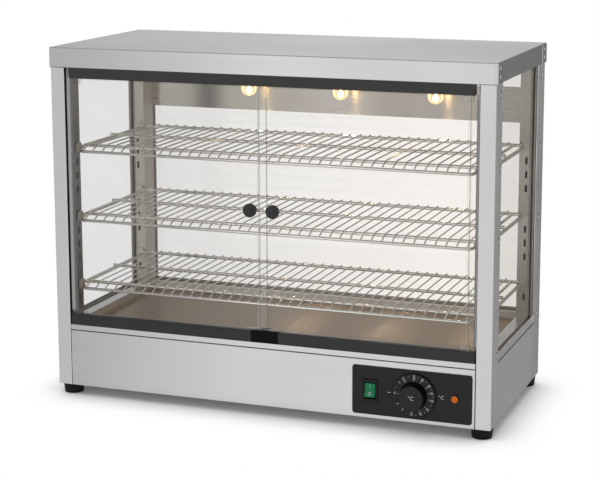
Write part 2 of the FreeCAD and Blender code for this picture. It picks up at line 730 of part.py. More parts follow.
def make_lamp_holders():
    """Ceramic holders that stand on the ceiling plate over their holes."""
    holders = []
    for place in lamp_places():
        seat = place + Z * SHEET
        body = rod(HOLDER_RADIUS, seat, Z, HOLDER_HEIGHT / 3)
        upper = rod(HOLDER_RADIUS - 4, seat, Z, HOLDER_HEIGHT)
        bore = rod(BULB_NECK_RADIUS + SCREW_GAP, seat, Z, BULB_CAP_LENGTH)
        holders.append(join([body, upper]).cut(bore))
    return Part.makeCompound(holders)


# Fixed glass


def side_pane(grow, y0, y1, z0, z1):
    """A slab in the side glass's plane, thicker than the glass by grow each way."""
    x0 = POCKET_X + SEAL_WALL - grow
    x1 = x0 + GLASS + 2 * grow
    return block(x0, x1, y0, y1, z0, z1)


def rear_pane(grow, half, z0, z1):
    """A slab in the rear glass's plane, thicker than the glass by grow each way."""
    y0 = REAR_SEAL_FRONT + SEAL_WALL - grow
    y1 = y0 + GLASS + 2 * grow
    return block(-half, half, y0, y1, z0, z1)


def side_seal_span():
    """The seal's front and back, at its outer edge."""
    front = FRONT_UPRIGHT_BACK - 2 * SEAL_EDGE
    back = REAR_UPRIGHT_FRONT + UPRIGHT_FLANGE
    return front, back


def make_side_glass():
    front, back = side_seal_span()
    return side_pane(0, front + SEAL_EDGE, back - SEAL_EDGE, BASE + PANE_BOTTOM, BASE + PANE_TOP)


def make_rear_glass():
    half = POCKET_X - SHEET - 2 * SEAL_EDGE
    return rear_pane(0, half, BASE + PANE_BOTTOM, BASE + PANE_TOP)


def make_glass_seals():
    """One rubber ring round each fixed pane."""
    front, back = side_seal_span()
    low = BASE + PANE_BOTTOM - SEAL_EDGE
    high = BASE + PANE_TOP + SEAL_EDGE
    lip_low = BASE + SILL_CAP_TOP - SEAL_SHOW
    lip_high = CEILING + SEAL_EDGE
    side = side_pane(SEAL_WALL, front, back, low, high)
    sight = side_pane(2 * SEAL_WALL, FRONT_UPRIGHT_BACK + SEAL_SHOW, REAR_UPRIGHT_FRONT - SEAL_SHOW,
                      lip_low, lip_high)
    side = side.cut([sight, make_side_glass()])
    half = POCKET_X - SHEET - SEAL_EDGE
    rear = rear_pane(SEAL_WALL, half, low, high)
    sight = rear_pane(2 * SEAL_WALL, OPENING_X - SEAL_SHOW, lip_low, lip_high)
    rear = rear.cut([sight, make_rear_glass()])
    return Part.makeCompound(both_sides(side) + [rear])


# Door rails and catch


def pivot_places():
    """The two door pivots in plan."""
    return [Vector(side * PIVOT_X, DOOR_MIDDLE, 0) for side in (-1, 1)]


def make_rail(half, bottom, hole_level, hole_axis):
    rail = block(-half, half, FRONT, FRONT + RAIL_DEPTH, bottom, bottom + RAIL_HEIGHT)
    rail = rail.makeFillet(RAIL_CORNER / 2, edges_along(rail, X))
    holes = [rod(BUSH_RADIUS, p + Z * hole_level, hole_axis, BUSH_LENGTH) for p in pivot_places()]
    return rail.cut(holes)


def make_top_rail():
    half = RETURN_X - TOP_RAIL_END_GAP
    return make_rail(half, TOP_RAIL_BOTTOM, TOP_RAIL_BOTTOM, Z)


def catch_wall():
    """The depth at which the catch's upstand begins."""
    return DOOR_BACK + STRIKE_THICKNESS + CATCH_GAP


def make_bottom_rail():
    half = RETURN_X - BOTTOM_RAIL_END_GAP
    rail = make_rail(half, RAIL_SEAT, RAIL_TOP, Z * -1)
    notch = block(-CATCH_WIDTH / 2, CATCH_WIDTH / 2, FRONT - SHEET, FRONT + RAIL_DEPTH - 2 * SHEET,
                  RAIL_SEAT + CATCH_FLOOR, RAIL_TOP + SHEET)
    seat = block(-CATCH_WIDTH / 2, CATCH_WIDTH / 2, FRONT - SHEET, FRONT + RAIL_DEPTH + SHEET,
                 RAIL_TOP - CATCH_FLOOR, RAIL_TOP + SHEET)
    return rail.cut([notch, seat])


def make_door_catch():
    half = CATCH_WIDTH / 2
    body = block(-half, half, FRONT, FRONT + RAIL_DEPTH - 2 * SHEET, RAIL_SEAT + CATCH_FLOOR, RAIL_TOP)
    step = block(-half, half, catch_wall(), FRONT + RAIL_DEPTH, RAIL_TOP - CATCH_FLOOR,
                 DOOR_BOTTOM + CATCH_UPSTAND)
    return join([body, step])


def make_pivot_bushes():
    bushes = []
    for place in pivot_places():
        for level, axis in ((RAIL_TOP, Z * -1), (TOP_RAIL_BOTTOM, Z)):
            bush = rod(BUSH_RADIUS, place + Z * level, axis, BUSH_LENGTH)
            bore = rod(PIN_RADIUS + PIN_GAP, place + Z * level, axis, PIN_LENGTH + SHEET)
            bushes.append(bush.cut(bore))
    return Part.makeCompound(bushes)


# Doors: side is -1 for the left door and 1 for the right door


def pane_span(side):
    """The left and right edges of a door pane."""
    if side < 0:
        return -RETURN_X + DOOR_LEFT_GAP, MEETING_LINE - MEETING_STRIP
    return MEETING_LINE + MEETING_GAP, RETURN_X - DOOR_RIGHT_GAP


def knob_x(side):
    middle = (pane_span(-1)[1] + pane_span(1)[0]) / 2
    return middle + side * KNOB_FROM_MEETING


def make_door_glass(side):
    left, right = pane_span(side)
    pane = block(left, right, DOOR_FRONT, DOOR_BACK, DOOR_BOTTOM, DOOR_TOP)
    hole = rod(KNOB_SCREW_RADIUS + 3 * SCREW_GAP, Vector(knob_x(side), DOOR_FRONT - SHEET, KNOB_LEVEL),
               Y, DOOR_GLASS + 2 * SHEET)
    return pane.cut(hole)


def make_edge_strip(side):
    """A clear strip bonded behind the pane's right edge, which reaches on past it."""
    edge = pane_span(side)[1]
    reach = MEETING_STRIP if side < 0 else HINGE_STRIP
    trim = 0 if side < 0 else SHOE_HEIGHT + PIN_GAP
    bottom = DOOR_BOTTOM + trim
    top = DOOR_TOP - trim
    return join([
        block(edge - STRIP_GRIP, edge + STRIP_WALL, DOOR_BACK, DOOR_BACK + STRIP_WALL, bottom, top),
        block(edge, edge + STRIP_WALL, DOOR_FRONT, DOOR_BACK, bottom, top),
        block(edge + STRIP_WALL, edge + reach, DOOR_MIDDLE - STRIP_THICKNESS / 2,
              DOOR_MIDDLE + STRIP_THICKNESS / 2, bottom, top),
    ])


def make_knob(side):
    base = Vector(knob_x(side), DOOR_FRONT, KNOB_LEVEL)
    knob = rod(KNOB_RADIUS, base, Y * -1, KNOB_HEIGHT)
    face = DOOR_FRONT - KNOB_HEIGHT
    rim = [e for e in knob.Edges if abs(e.CenterOfMass.y - face) < 0.01]
    knob = knob.makeFillet(KNOB_HEIGHT / 5, rim)
    return knob.cut(rod(KNOB_SCREW_RADIUS, base, Y * -1, KNOB_SCREW_GRIP))


def make_knob_screw(side):
    """A screw with its washer, which pulls the knob onto the glass from behind."""
    base = Vector(knob_x(side), DOOR_BACK, KNOB_LEVEL)
    washer = rod(KNOB_WASHER_RADIUS, base, Y, SHEET)
    head = rod(KNOB_SCREW_RADIUS * 2, base + Y * SHEET, Y, KNOB_SCREW_RADIUS)
    shank = rod(KNOB_SCREW_RADIUS, base, Y * -1, DOOR_GLASS + KNOB_SCREW_GRIP)
    return join([washer, head, shank])


def make_door_pivots(side):
    """A clip on the pane's lower and upper edge, each with its pin."""
    half = SHOE_WIDTH / 2
    x = side * PIVOT_X
    parts = []
    for edge, rail, out in ((DOOR_BOTTOM, RAIL_TOP, -1), (DOOR_TOP, TOP_RAIL_BOTTOM, 1)):
        outer = rail - out * SHOE_LIFT
        inner = edge - out * SHOE_HEIGHT
        clip = block(x - half, x + half, DOOR_MIDDLE - SHOE_DEPTH / 2, DOOR_MIDDLE + SHOE_DEPTH / 2,
                     outer, inner)
        clip = clip.makeFillet(SHEET, edges_along(clip, Z))
        left, right = pane_span(side)
        clip = clip.cut(block(left, right, DOOR_FRONT, DOOR_BACK, DOOR_BOTTOM, DOOR_TOP))
        pin = rod(PIN_RADIUS, Vector(x, DOOR_MIDDLE, outer), Z * out, PIN_LENGTH + SHOE_LIFT)
        parts.append(join([clip, pin]))
    return Part.makeCompound(parts)


def make_strike(side):
    left, right = pane_span(side)
    start = right - STRIP_GRIP - STRIKE_WIDTH if side < 0 else left
    return block(start, start + STRIKE_WIDTH, DOOR_BACK, DOOR_BACK + STRIKE_THICKNESS,
                 DOOR_BOTTOM, DOOR_BOTTOM + STRIKE_HEIGHT)


# Shelves and their supports


def make_support(level):
    """A right-hand support: a bar with a hooked tab at the back and a hooked flag at the front."""
    half = SUPPORT_THICKNESS / 2
    bottom = level - SUPPORT_HEIGHT
    flag_top = bottom + SUPPORT_FLAG_HEIGHT
    rear = REAR_UPRIGHT_FRONT - SUPPORT_GAP
    front_x = OPENING_X - FRONT_FLAG_INSET - SUPPORT_THICKNESS / 2
    flag_back = FRONT_UPRIGHT_BACK + 2 * SUPPORT_GAP
    jog = flag_back + SUPPORT_X - front_x
    bar = folded([
        (front_x - half, FRONT_UPRIGHT_BACK - FRONT_FLAG_LENGTH), (front_x - half, flag_back),
        (SUPPORT_X - half, jog), (SUPPORT_X - half, rear),
    ][::-1], "xy", bottom, level, SUPPORT_THICKNESS)
    tab_edge = POCKET_X - SUPPORT_GAP
    tab = block(SUPPORT_X - half, tab_edge, rear - SUPPORT_TAB, rear, bottom, flag_top)
    tab = tab.makeFillet(SUPPORT_TAB_CORNER, [
        e for e in edges_along(tab, Y) if e.CenterOfMass.z > level])
    tongue_low = level - SLOT_HEIGHT / 2 + SUPPORT_GAP
    hook_y = REAR_UPRIGHT_FRONT + SHEET + SUPPORT_GAP
    tongue = block(SLOT_X - half, SLOT_X + half, rear, hook_y + HOOK_REACH, tongue_low, level)
    hook = block(SLOT_X - half, SLOT_X + half, hook_y, hook_y + HOOK_REACH,
                 tongue_low - HOOK_DROP, tongue_low)
    front_flag = block(front_x - half, front_x + half, FRONT_UPRIGHT_BACK - FRONT_FLAG_LENGTH,
                       FRONT_UPRIGHT_BACK, bottom, flag_top)
    front_flag = front_flag.makeFillet(FRONT_FLAG_LENGTH / 3, [
        e for e in edges_along(front_flag, X) if e.CenterOfMass.z > level])
    peg_y = FRONT + FRONT_SLOT_DEPTH
    peg_half = SLOT_WIDTH / 2 - SUPPORT_GAP
    peg_end = OPENING_X + SHEET + SUPPORT_GAP + HOOK_REACH
    peg = block(front_x + half, peg_end, peg_y - peg_half, peg_y + peg_half, tongue_low, level)
    peg_hook = block(OPENING_X + SHEET + SUPPORT_GAP, peg_end, peg_y - peg_half, peg_y + peg_half,
                     tongue_low - HOOK_DROP, tongue_low)
    return join([bar, tab, tongue, hook, front_flag, peg, peg_hook])


def make_shelf_supports():
    """The three right-hand supports."""
    return Part.makeCompound([make_support(level) for level in shelf_levels()])


def make_shelf():
    """One wire shelf, with the level of its supports at Z = 0."""
    seat = RAIL_WIRE
    rear = REAR_UPRIGHT_FRONT - SHELF_REAR_GAP
    nose_y = FRONT + SHELF_FRONT
    brow_y = nose_y + SHELF_NOSE_RUN
    nose_z = seat - SHELF_NOSE_DROP
    half = OPENING_X - SHELF_SIDE_GAP
    right = [
        Vector(half, rear + RAIL_WIRE, seat), Vector(half, brow_y, seat), Vector(half, nose_y, nose_z),
    ]
    left = [Vector(-p.x, p.y, p.z) for p in right]
    wires = [bent_wire(right + left[::-1], FRAME_WIRE * 1.6, FRAME_WIRE)]
    for y in (rear, FRONT + BODY_DEPTH * SHELF_MID_SHARE):
        wires.append(rod(RAIL_WIRE, Vector(-SUPPORT_X, y, seat), X, 2 * SUPPORT_X))
    wires.append(rod(RAIL_WIRE, Vector(-half, brow_y + FRAME_WIRE, seat), X, 2 * half))
    top = seat + RAIL_WIRE + CROSS_WIRE - WELD_BITE
    slope = Vector(0, nose_y - brow_y, nose_z - seat).normalize()
    proud = Vector(0, slope.z, -slope.y) * (FRAME_WIRE + CROSS_WIRE - WELD_BITE)
    end = Vector(0, nose_y, nose_z) + proud
    brow = end - slope * ((end.z - top) / slope.z)
    count = int((half - FRAME_WIRE) / CROSS_PITCH)
    for i in range(-count, count + 1):
        x = i * CROSS_PITCH
        points = [Vector(x, rear + RAIL_WIRE, top), Vector(x, brow.y, brow.z), Vector(x, end.y, end.z)]
        wires.append(bent_wire(points, CROSS_WIRE * 2, CROSS_WIRE))
    return join(wires)


# Controls


def make_control_plate():
    z0 = BASE + PLATE_BOTTOM
    plate = block(PLATE_LEFT, PLATE_LEFT + PLATE_WIDTH, PLATE_FRONT, FRONT, z0, z0 + PLATE_HEIGHT)
    plate = plate.makeFillet(PLATE_CORNER, edges_along(plate, Y))
    return plate.cut(control_holes(PLATE_FRONT - SHEET, FRONT + SHEET))


def rocker_pivot():
    return Vector(SWITCH_X, FRONT + ROCKER_PIVOT_DEPTH, BASE + CONTROL_LEVEL)


def rocker_reach():
    """The distance from the rocker's pivot to its outer corners."""
    return math.hypot(ROCKER_HALF_HEIGHT, ROCKER_PIVOT_DEPTH + PLATE_THICKNESS + ROCKER_PROUD)


def make_switch_housing():
    z = BASE + CONTROL_LEVEL
    half_width = BEZEL_WIDTH / 2
    half_height = BEZEL_HEIGHT / 2
    bezel_front = PLATE_FRONT - BEZEL_PROUD
    bezel = block(SWITCH_X - half_width, SWITCH_X + half_width, bezel_front, PLATE_FRONT,
                  z - half_height, z + half_height)
    bezel = bezel.makeFillet(BEZEL_PROUD / 2, edges_along(bezel, Y))
    body_back = FRONT + SWITCH_BODY_DEPTH
    body = block(SWITCH_X - SWITCH_BODY_WIDTH / 2, SWITCH_X + SWITCH_BODY_WIDTH / 2, PLATE_FRONT, body_back,
                 z - SWITCH_BODY_HEIGHT / 2, z + SWITCH_BODY_HEIGHT / 2)
    room = rocker_reach() + ROCKER_GAP
    cavity = block(SWITCH_X - ROCKER_WIDTH / 2 - ROCKER_GAP, SWITCH_X + ROCKER_WIDTH / 2 + ROCKER_GAP,
                   bezel_front - SHEET, rocker_pivot().y + room, z - room, z + room)
    bore = rod(ROCKER_PIN_RADIUS + PIN_GAP, rocker_pivot() - X * SWITCH_BODY_WIDTH / 2, X, SWITCH_BODY_WIDTH)
    blades = [block(SWITCH_X - 3, SWITCH_X + 3, body_back, body_back + 8, z + dz - 0.4, z + dz + 0.4)
              for dz in (-8, 0, 8)]
    return join([bezel, body] + blades).cut([cavity, bore])


def make_rocker():
    """The rocker in its resting tilt, with its upper half pressed in."""
    pivot = rocker_pivot()
    tip = -(ROCKER_PIVOT_DEPTH + PLATE_THICKNESS + ROCKER_PROUD)
    waist = tip + math.tan(math.radians(ROCKER_TILT)) * ROCKER_HALF_HEIGHT
    outline = [
        (tip, ROCKER_HALF_HEIGHT), (waist, 0), (tip, -ROCKER_HALF_HEIGHT),
        (ROCKER_PIVOT_DEPTH, -ROCKER_HALF_HEIGHT / 2), (ROCKER_PIVOT_DEPTH, ROCKER_HALF_HEIGHT / 2),
    ]
    points = [Vector(pivot.x - ROCKER_WIDTH / 2, pivot.y + y, pivot.z + z) for y, z in outline]
    face = Part.Face(Part.makePolygon(points + points[:1]))
    body = face.extrude(X * ROCKER_WIDTH)
    pin_length = SWITCH_BODY_WIDTH - 2 * PIN_GAP
    pin = rod(ROCKER_PIN_RADIUS, pivot - X * (pin_length / 2), X, pin_length)
    rocker = join([body, pin])
    rocker.rotate(pivot, X, -ROCKER_TILT)
    return rocker


def make_thermostat():
    """The body behind the panel, its threaded bush through the panel, and its terminals."""
    z = BASE + CONTROL_LEVEL
    body_front = FRONT + SHEET + SHEET
    half = STAT_BODY / 2
    body = block(DIAL_X - half, DIAL_X + half, body_front, body_front + STAT_BODY_DEPTH, z - half, z + half)
    body = body.makeFillet(SHEET * 2, edges_along(body, Y))
    nut = ring(STAT_BUSH_RADIUS * 1.6, STAT_BUSH_RADIUS - SHEET, Vector(DIAL_X, FRONT + SHEET, z), Y, SHEET)
    bush = rod(STAT_BUSH_RADIUS, Vector(DIAL_X, PLATE_FRONT, z), Y, body_front - PLATE_FRONT)
    bore = rod(SPINDLE_RADIUS + PIN_GAP, Vector(DIAL_X, PLATE_FRONT - SHEET, z), Y,
               PLATE_THICKNESS + STAT_BODY_DEPTH / 2)
    back = body_front + STAT_BODY_DEPTH
    blades = [block(DIAL_X + dx - 0.4, DIAL_X + dx + 0.4, back, back + 8, z - 3, z + 3) for dx in (-9, 9)]
    return join([body, nut, bush] + blades).cut(bore)


def make_spindle():
    z = BASE + CONTROL_LEVEL
    start = PLATE_FRONT - SHEET + STAT_BODY_DEPTH / 2
    length = start - (FRONT - CONTROL_PROUD + DIAL_KNOB_HEIGHT / 3)
    spindle = rod(SPINDLE_RADIUS, Vector(DIAL_X, start, z), Y * -1, length)
    return spindle


def make_dial():
    """The numbered skirt with its grip, moulded in one."""
    z = BASE + CONTROL_LEVEL
    skirt_back = PLATE_FRONT - DIAL_GAP
    skirt = rod(DIAL_SKIRT_RADIUS, Vector(DIAL_X, skirt_back, z), Y * -1, DIAL_SKIRT_HEIGHT)
    skirt = skirt.makeChamfer(DIAL_SKIRT_HEIGHT / 3, [
        e for e in skirt.Edges if abs(e.CenterOfMass.y - skirt_back + DIAL_SKIRT_HEIGHT) < 0.01])
    face = skirt_back - DIAL_SKIRT_HEIGHT
    grip = rod(DIAL_KNOB_RADIUS, Vector(DIAL_X, face, z), Y * -1, DIAL_KNOB_HEIGHT)
    grip = grip.makeFillet(SHEET, [e for e in grip.Edges
                                   if abs(e.CenterOfMass.y - face + DIAL_KNOB_HEIGHT) < 0.01])
    spindle = make_spindle()
    return join([skirt, grip]).cut(spindle)


def make_sensor():
    """A capillary from the thermostat up to a sensor bulb under the tray."""
    z = BASE + CONTROL_LEVEL
    start_y = FRONT + 2 * SHEET + STAT_BODY_DEPTH
    level = BASE + TRAY_LEVEL - SENSOR_RADIUS
    end_y = start_y + STAT_BODY
    points = [
        Vector(DIAL_X, start_y, z), Vector(DIAL_X, end_y, z), Vector(DIAL_X, end_y, level),
        Vector(DIAL_X - STAT_BODY, end_y, level),
    ]
    tube = bent_wire(points, SENSOR_RADIUS * 2, CAPILLARY_RADIUS)
    bulb = rod(SENSOR_RADIUS, points[-1], X * -1, SENSOR_LENGTH)
    return join([tube, bulb])


def make_indicator_lens():
    z = BASE + CONTROL_LEVEL
    lens = rod(INDICATOR_RADIUS, Vector(INDICATOR_X, PLATE_FRONT, z), Y * -1, INDICATOR_PROUD)
    front = PLATE_FRONT - INDICATOR_PROUD
    return lens.makeFillet(INDICATOR_PROUD * 0.6, [e for e in lens.Edges if abs(e.CenterOfMass.y - front) < 0.01])


def make_indicator_body():
    z = BASE + CONTROL_LEVEL
    return rod(INDICATOR_BODY_RADIUS, Vector(INDICATOR_X, PLATE_FRONT, z), Y, INDICATOR_BODY_LENGTH)


# Base


def element_run(i):
    """The depth of one run of the heating element."""
    return FRONT + BODY_DEPTH * ELEMENT_FIRST_SHARE + i * ELEMENT_RUN_PITCH


def make_heating_element():
    """One tube folded back and forth in a level plane."""
    z = BASE + ELEMENT_LEVEL
    turn = ELEMENT_RUN_PITCH / 2
    edges = []
    x = ELEMENT_END
    for i in range(ELEMENT_RUNS):
        leftward = i % 2 == 0
        stop = ELEMENT_LEFT if leftward else ELEMENT_RIGHT
        if i == ELEMENT_RUNS - 1:
            stop = ELEMENT_END
        y = element_run(i)
        edges.append(Part.LineSegment(Vector(x, y, z), Vector(stop, y, z)).toShape())
        if i < ELEMENT_RUNS - 1:
            bulge = -turn if leftward else turn
            edges.append(Part.Arc(Vector(stop, y, z), Vector(stop + bulge, y + turn, z),
                                  Vector(stop, y + 2 * turn, z)).toShape())
        x = stop
    profile = Part.Wire([Part.makeCircle(ELEMENT_RADIUS, Vector(ELEMENT_END, element_run(0), z), X)])
    return Part.Wire(edges).makePipeShell([profile], True, False)


def make_element_straps():
    """Two straps that hang the element from the tray."""
    straps = []
    low = BASE + ELEMENT_LEVEL - ELEMENT_RADIUS
    top = BASE + TRAY_LEVEL
    start = element_run(0) - 3 * ELEMENT_RADIUS
    end = element_run(ELEMENT_RUNS - 1) + 3 * ELEMENT_RADIUS
    for x in STRAP_PLACES:
        path = [(start, top), (start, low - STRAP_THICKNESS), (end, low - STRAP_THICKNESS), (end, top)]
        straps.append(folded(path, "yz", x, x + STRAP_WIDTH, STRAP_THICKNESS))
    return Part.makeCompound(straps)


def make_terminal_block():
    width, depth, height = TERMINAL_SIZE
    x = TERMINAL_X
    y = FRONT + TERMINAL_DEPTH
    z = BASE + SHEET
    block_body = block(x - width / 2, x + width / 2, y - depth / 2, y + depth / 2, z, z + height)
    cuts = []
    for i in range(5):
        screw_x = x + (i - 2) * width / 5
        cuts.append(rod(width / 16, Vector(screw_x, y, z + height * 0.7), Z, height))
    return block_body.cut(cuts)


def make_wiring():
    """Leads between the terminal block and the parts that it feeds, and the lamps' lead."""
    width, depth, height = TERMINAL_SIZE
    z = BASE + SHEET + height / 2
    block_front = FRONT + TERMINAL_DEPTH - depth / 2
    control_z = BASE + CONTROL_LEVEL
    switch_back = FRONT + SWITCH_BODY_DEPTH + 8
    stat_back = FRONT + 2 * SHEET + STAT_BODY_DEPTH + 8
    bend = LEAD_RADIUS * 4
    leads = []
    for i, (x, y, level) in enumerate((
            (SWITCH_X, switch_back, control_z - 8), (SWITCH_X, switch_back, control_z + 8),
            (DIAL_X - 9, stat_back, control_z))):
        start_x = TERMINAL_X + (i - 1) * width / 5
        turn_y = block_front - (i + 2) * bend * 1.5
        leads.append(bent_wire([
            Vector(start_x, block_front, z), Vector(start_x, turn_y, z), Vector(x, turn_y, z),
            Vector(x, turn_y - 3 * bend, level), Vector(x, y, level)], bend, LEAD_RADIUS))
    last_run = element_run(ELEMENT_RUNS - 1)
    tail = Vector(ELEMENT_END, last_run, BASE + ELEMENT_LEVEL)
    side = Vector(TERMINAL_X + width / 2, FRONT + TERMINAL_DEPTH, z)
    leads.append(bent_wire([
        side, side + X * 60, Vector(side.x + 60, last_run, tail.z), tail], bend, LEAD_RADIUS))
    level = CEILING + SHEET + 3 * LAMP_LEAD_RADIUS
    drop = lead_drop(level)
    lamps = lamp_places()
    run_y = drop.y
    main = bent_wire([
        Vector(lamps[-1].x, run_y, level), Vector(drop.x, run_y, level),
        Vector(drop.x, run_y, BASE + SHEET + LAMP_LEAD_RADIUS * 3)], LAMP_LEAD_RADIUS * 2, LAMP_LEAD_RADIUS)
    stubs = []
    for place in lamps:
        start = place.y + HOLDER_RADIUS
        stubs.append(rod(LEAD_RADIUS, Vector(place.x, start, level), Y, run_y - start))
    leads.append(join([main] + stubs))
    return Part.makeCompound(leads)


def make_cable_inlet():
    """A bored gland in the rear panel, with its nut inside."""
    z = BASE + INLET_LEVEL
    outside = REAR_PANEL_FRONT + SHEET
    inside = REAR_PANEL_FRONT - SHEET * 4
    stem = rod(INLET_BODY_RADIUS, Vector(INLET_X, inside - SHEET * 2, z), Y, BACK + INLET_PROUD - inside + SHEET * 2)
    flange = rod(INLET_NUT_RADIUS, Vector(INLET_X, outside, z), Y, INLET_PROUD / 3)
    nut = rod(INLET_NUT_RADIUS, Vector(INLET_X, inside, z), Y, SHEET * 4)
    bore = rod(INLET_BORE, Vector(INLET_X, inside - SHEET * 3, z), Y, INLET_PROUD * 3)
    return join([stem, flange, nut]).cut(bore)


def make_feet():
    feet = []
    for place in foot_places():
        foot = Part.makeCone(FOOT_BOTTOM_RADIUS, FOOT_TOP_RADIUS, FOOT_HEIGHT, place, Z)
        foot = foot.makeFillet(SHEET, [e for e in foot.Edges if abs(e.CenterOfMass.z) < 0.01
                                       and len(e.Vertexes) == 1])
        hole = rod(FOOT_SCREW_RADIUS + SCREW_GAP, place, Z, FOOT_HEIGHT)
        pocket = rod(FOOT_SCREW_RADIUS * 2 + SCREW_GAP, place, Z, FOOT_HEIGHT / 2)
        feet.append(foot.cut([hole, pocket]))
    return Part.makeCompound(feet)


def make_foot_screws():
    screws = []
    for place in foot_places():
        seat = place + Z * (FOOT_HEIGHT / 2)
        shank = rod(FOOT_SCREW_RADIUS, seat, Z, FOOT_HEIGHT / 2 + SHEET * 4)
        head = rod(FOOT_SCREW_RADIUS * 2, seat, Z * -1, FOOT_SCREW_RADIUS)
        screws.append(join([head, shank]))
    return Part.makeCompound(screws)


def build():
    """Every node's name and shape."""
    side_panel = make_side_panel()
    front_upright = make_front_upright()
    rear_upright = make_rear_upright()
    side_sill = make_side_sill()
    side_glass = make_side_glass()
    supports = make_shelf_supports()
    nodes = {
        "top_cover": make_top_cover(),
        "ceiling_plate": make_ceiling_plate(),
        "side_panel_right": side_panel,
        "side_panel_left": mirrored(side_panel),
        "panel_screws": make_panel_screws(),
        "upright_front_right": front_upright,
        "upright_front_left": mirrored(front_upright),
        "upright_rear_right": rear_upright,
        "upright_rear_left": mirrored(rear_upright),
        "front_panel": make_front_panel(),
        "front_sill": make_front_sill(),
        "rear_panel": make_rear_panel(),
        "bottom_plate": make_bottom_plate(),
        "floor_tray": make_floor_tray(),
        "side_sills": Part.makeCompound(both_sides(side_sill)),
        "rear_sill": make_rear_sill(),
        "rear_band": make_rear_band(),
        "lamp_bulbs": make_lamp_bulbs(),
        "lamp_holders": make_lamp_holders(),
        "side_glass_right": side_glass,
        "side_glass_left": mirrored(side_glass),
        "rear_glass": make_rear_glass(),
        "glass_seals": make_glass_seals(),
        "top_rail": make_top_rail(),
        "bottom_rail": make_bottom_rail(),
        "door_catch": make_door_catch(),
        "pivot_bushes": make_pivot_bushes(),
        "shelf_supports_right": supports,
        "shelf_supports_left": mirrored(supports),
        "control_plate": make_control_plate(),
        "switch_housing": make_switch_housing(),
        "switch_rocker": make_rocker(),
        "thermostat": make_thermostat(),
        "thermostat_spindle": make_spindle(),
        "thermostat_dial": make_dial(),
        "thermostat_sensor": make_sensor(),
        "indicator_lens": make_indicator_lens(),
        "indicator_body": make_indicator_body(),
        "heating_element": make_heating_element(),
        "element_straps": make_element_straps(),
        "terminal_block": make_terminal_block(),
        "wiring": make_wiring(),
        "cable_inlet": make_cable_inlet(),
        "feet": make_feet(),
        "foot_screws": make_foot_screws(),
    }
    for side, word in ((-1, "left"), (1, "right")):
        nodes[word + "_door_glass"] = make_door_glass(side)
        nodes[word + "_door_edge_strip"] = make_edge_strip(side)
        nodes[word + "_door_knob"] = make_knob(side)
        nodes[word + "_door_knob_screw"] = make_knob_screw(side)
        nodes[word + "_door_pivots"] = make_door_pivots(side)
        nodes[word + "_door_strike"] = make_strike(side)
    shelf = make_shelf()
    for name, level in zip(("wire_shelf_bottom", "wire_shelf_middle", "wire_shelf_top"), shelf_levels()):
        nodes[name] = shelf.translated(Z * level)
    return nodes


os.makedirs("parts", exist_ok=True)
for name, shape in build().items():
    shape.exportStep("parts/" + name + ".step")
    box = shape.BoundBox
    print(f"{name:24s} {len(shape.Solids):3d} solids {shape.Volume / 1000:9.2f} cm3  valid {shape.isValid()}  "
          f"x {box.XMin:.1f}..{box.XMax:.1f}  y {box.YMin:.1f}..{box.YMax:.1f}  z {box.ZMin:.1f}..{box.ZMax:.1f}")
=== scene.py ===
# %% [markdown]
# # A counter-top heated display case
#
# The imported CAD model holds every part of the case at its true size. This lesson dresses it: it
# brings the model in as a fixed frame, gives each sheet, pane and wire a finish of its own, and
# builds finer pieces where the plain solid isn't enough. Lengths in the cells are millimetres on
# the real case, and one factor turns them into the metres that Blender works in.

# %% Load the frame
import json
import math

import bmesh
import bpy
from mathutils import Matrix, Vector


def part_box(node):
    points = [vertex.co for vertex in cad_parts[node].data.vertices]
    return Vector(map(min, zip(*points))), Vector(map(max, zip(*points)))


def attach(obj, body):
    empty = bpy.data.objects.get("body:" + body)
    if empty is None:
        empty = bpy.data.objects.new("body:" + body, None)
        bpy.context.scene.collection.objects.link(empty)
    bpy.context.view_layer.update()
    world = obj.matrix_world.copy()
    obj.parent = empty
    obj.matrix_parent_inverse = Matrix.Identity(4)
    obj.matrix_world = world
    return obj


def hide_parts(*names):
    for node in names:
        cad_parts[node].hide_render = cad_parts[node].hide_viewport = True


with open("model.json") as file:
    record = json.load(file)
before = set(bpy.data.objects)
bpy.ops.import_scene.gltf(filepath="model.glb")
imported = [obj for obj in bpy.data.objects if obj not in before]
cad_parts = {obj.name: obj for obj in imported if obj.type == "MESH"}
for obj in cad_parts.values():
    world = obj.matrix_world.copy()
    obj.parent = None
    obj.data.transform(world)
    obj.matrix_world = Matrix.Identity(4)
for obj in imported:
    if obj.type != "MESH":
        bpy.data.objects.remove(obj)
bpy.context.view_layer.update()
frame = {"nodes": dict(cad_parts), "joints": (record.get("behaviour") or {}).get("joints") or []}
MM = 0.001
scene = bpy.context.scene

# %% [markdown]
# ## Reading places from the frame
#
# A finer piece has to sit exactly where its solid sits, so its place isn't typed in again. Each
# helper reads a node's box and gives it back in millimetres.


# %% Places on the case
def box_mm(node):
    """A node's lowest and highest corner, in millimetres."""
    low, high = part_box(node)
    return low / MM, high / MM


def middle_mm(node):
    low, high = box_mm(node)
    return (low + high) / 2


FRONT = box_mm("front_panel")[0].y
PLATE_FRONT = box_mm("control_plate")[0].y
print("the front panel is at y", round(FRONT, 1), "and the control plate at y", round(PLATE_FRONT, 1))

# %% [markdown]
# ## The camera
#
# The photographer stood to the right of the case with a long lens, looking slightly down. A small
# downward shift of the lens keeps the uprights from leaning. The same camera here makes each part
# line up with the picture, so that shapes can be compared one by one.

# %% Camera
CAMERA_PLACE = Vector((829.3, -2231.1, 732.9)) * MM
CAMERA_YAW = math.radians(20.4)
CAMERA_PITCH = math.radians(10.15)
CAMERA_ROLL = math.radians(-0.14)
LENS = 101.83
LENS_SHIFT = -0.1

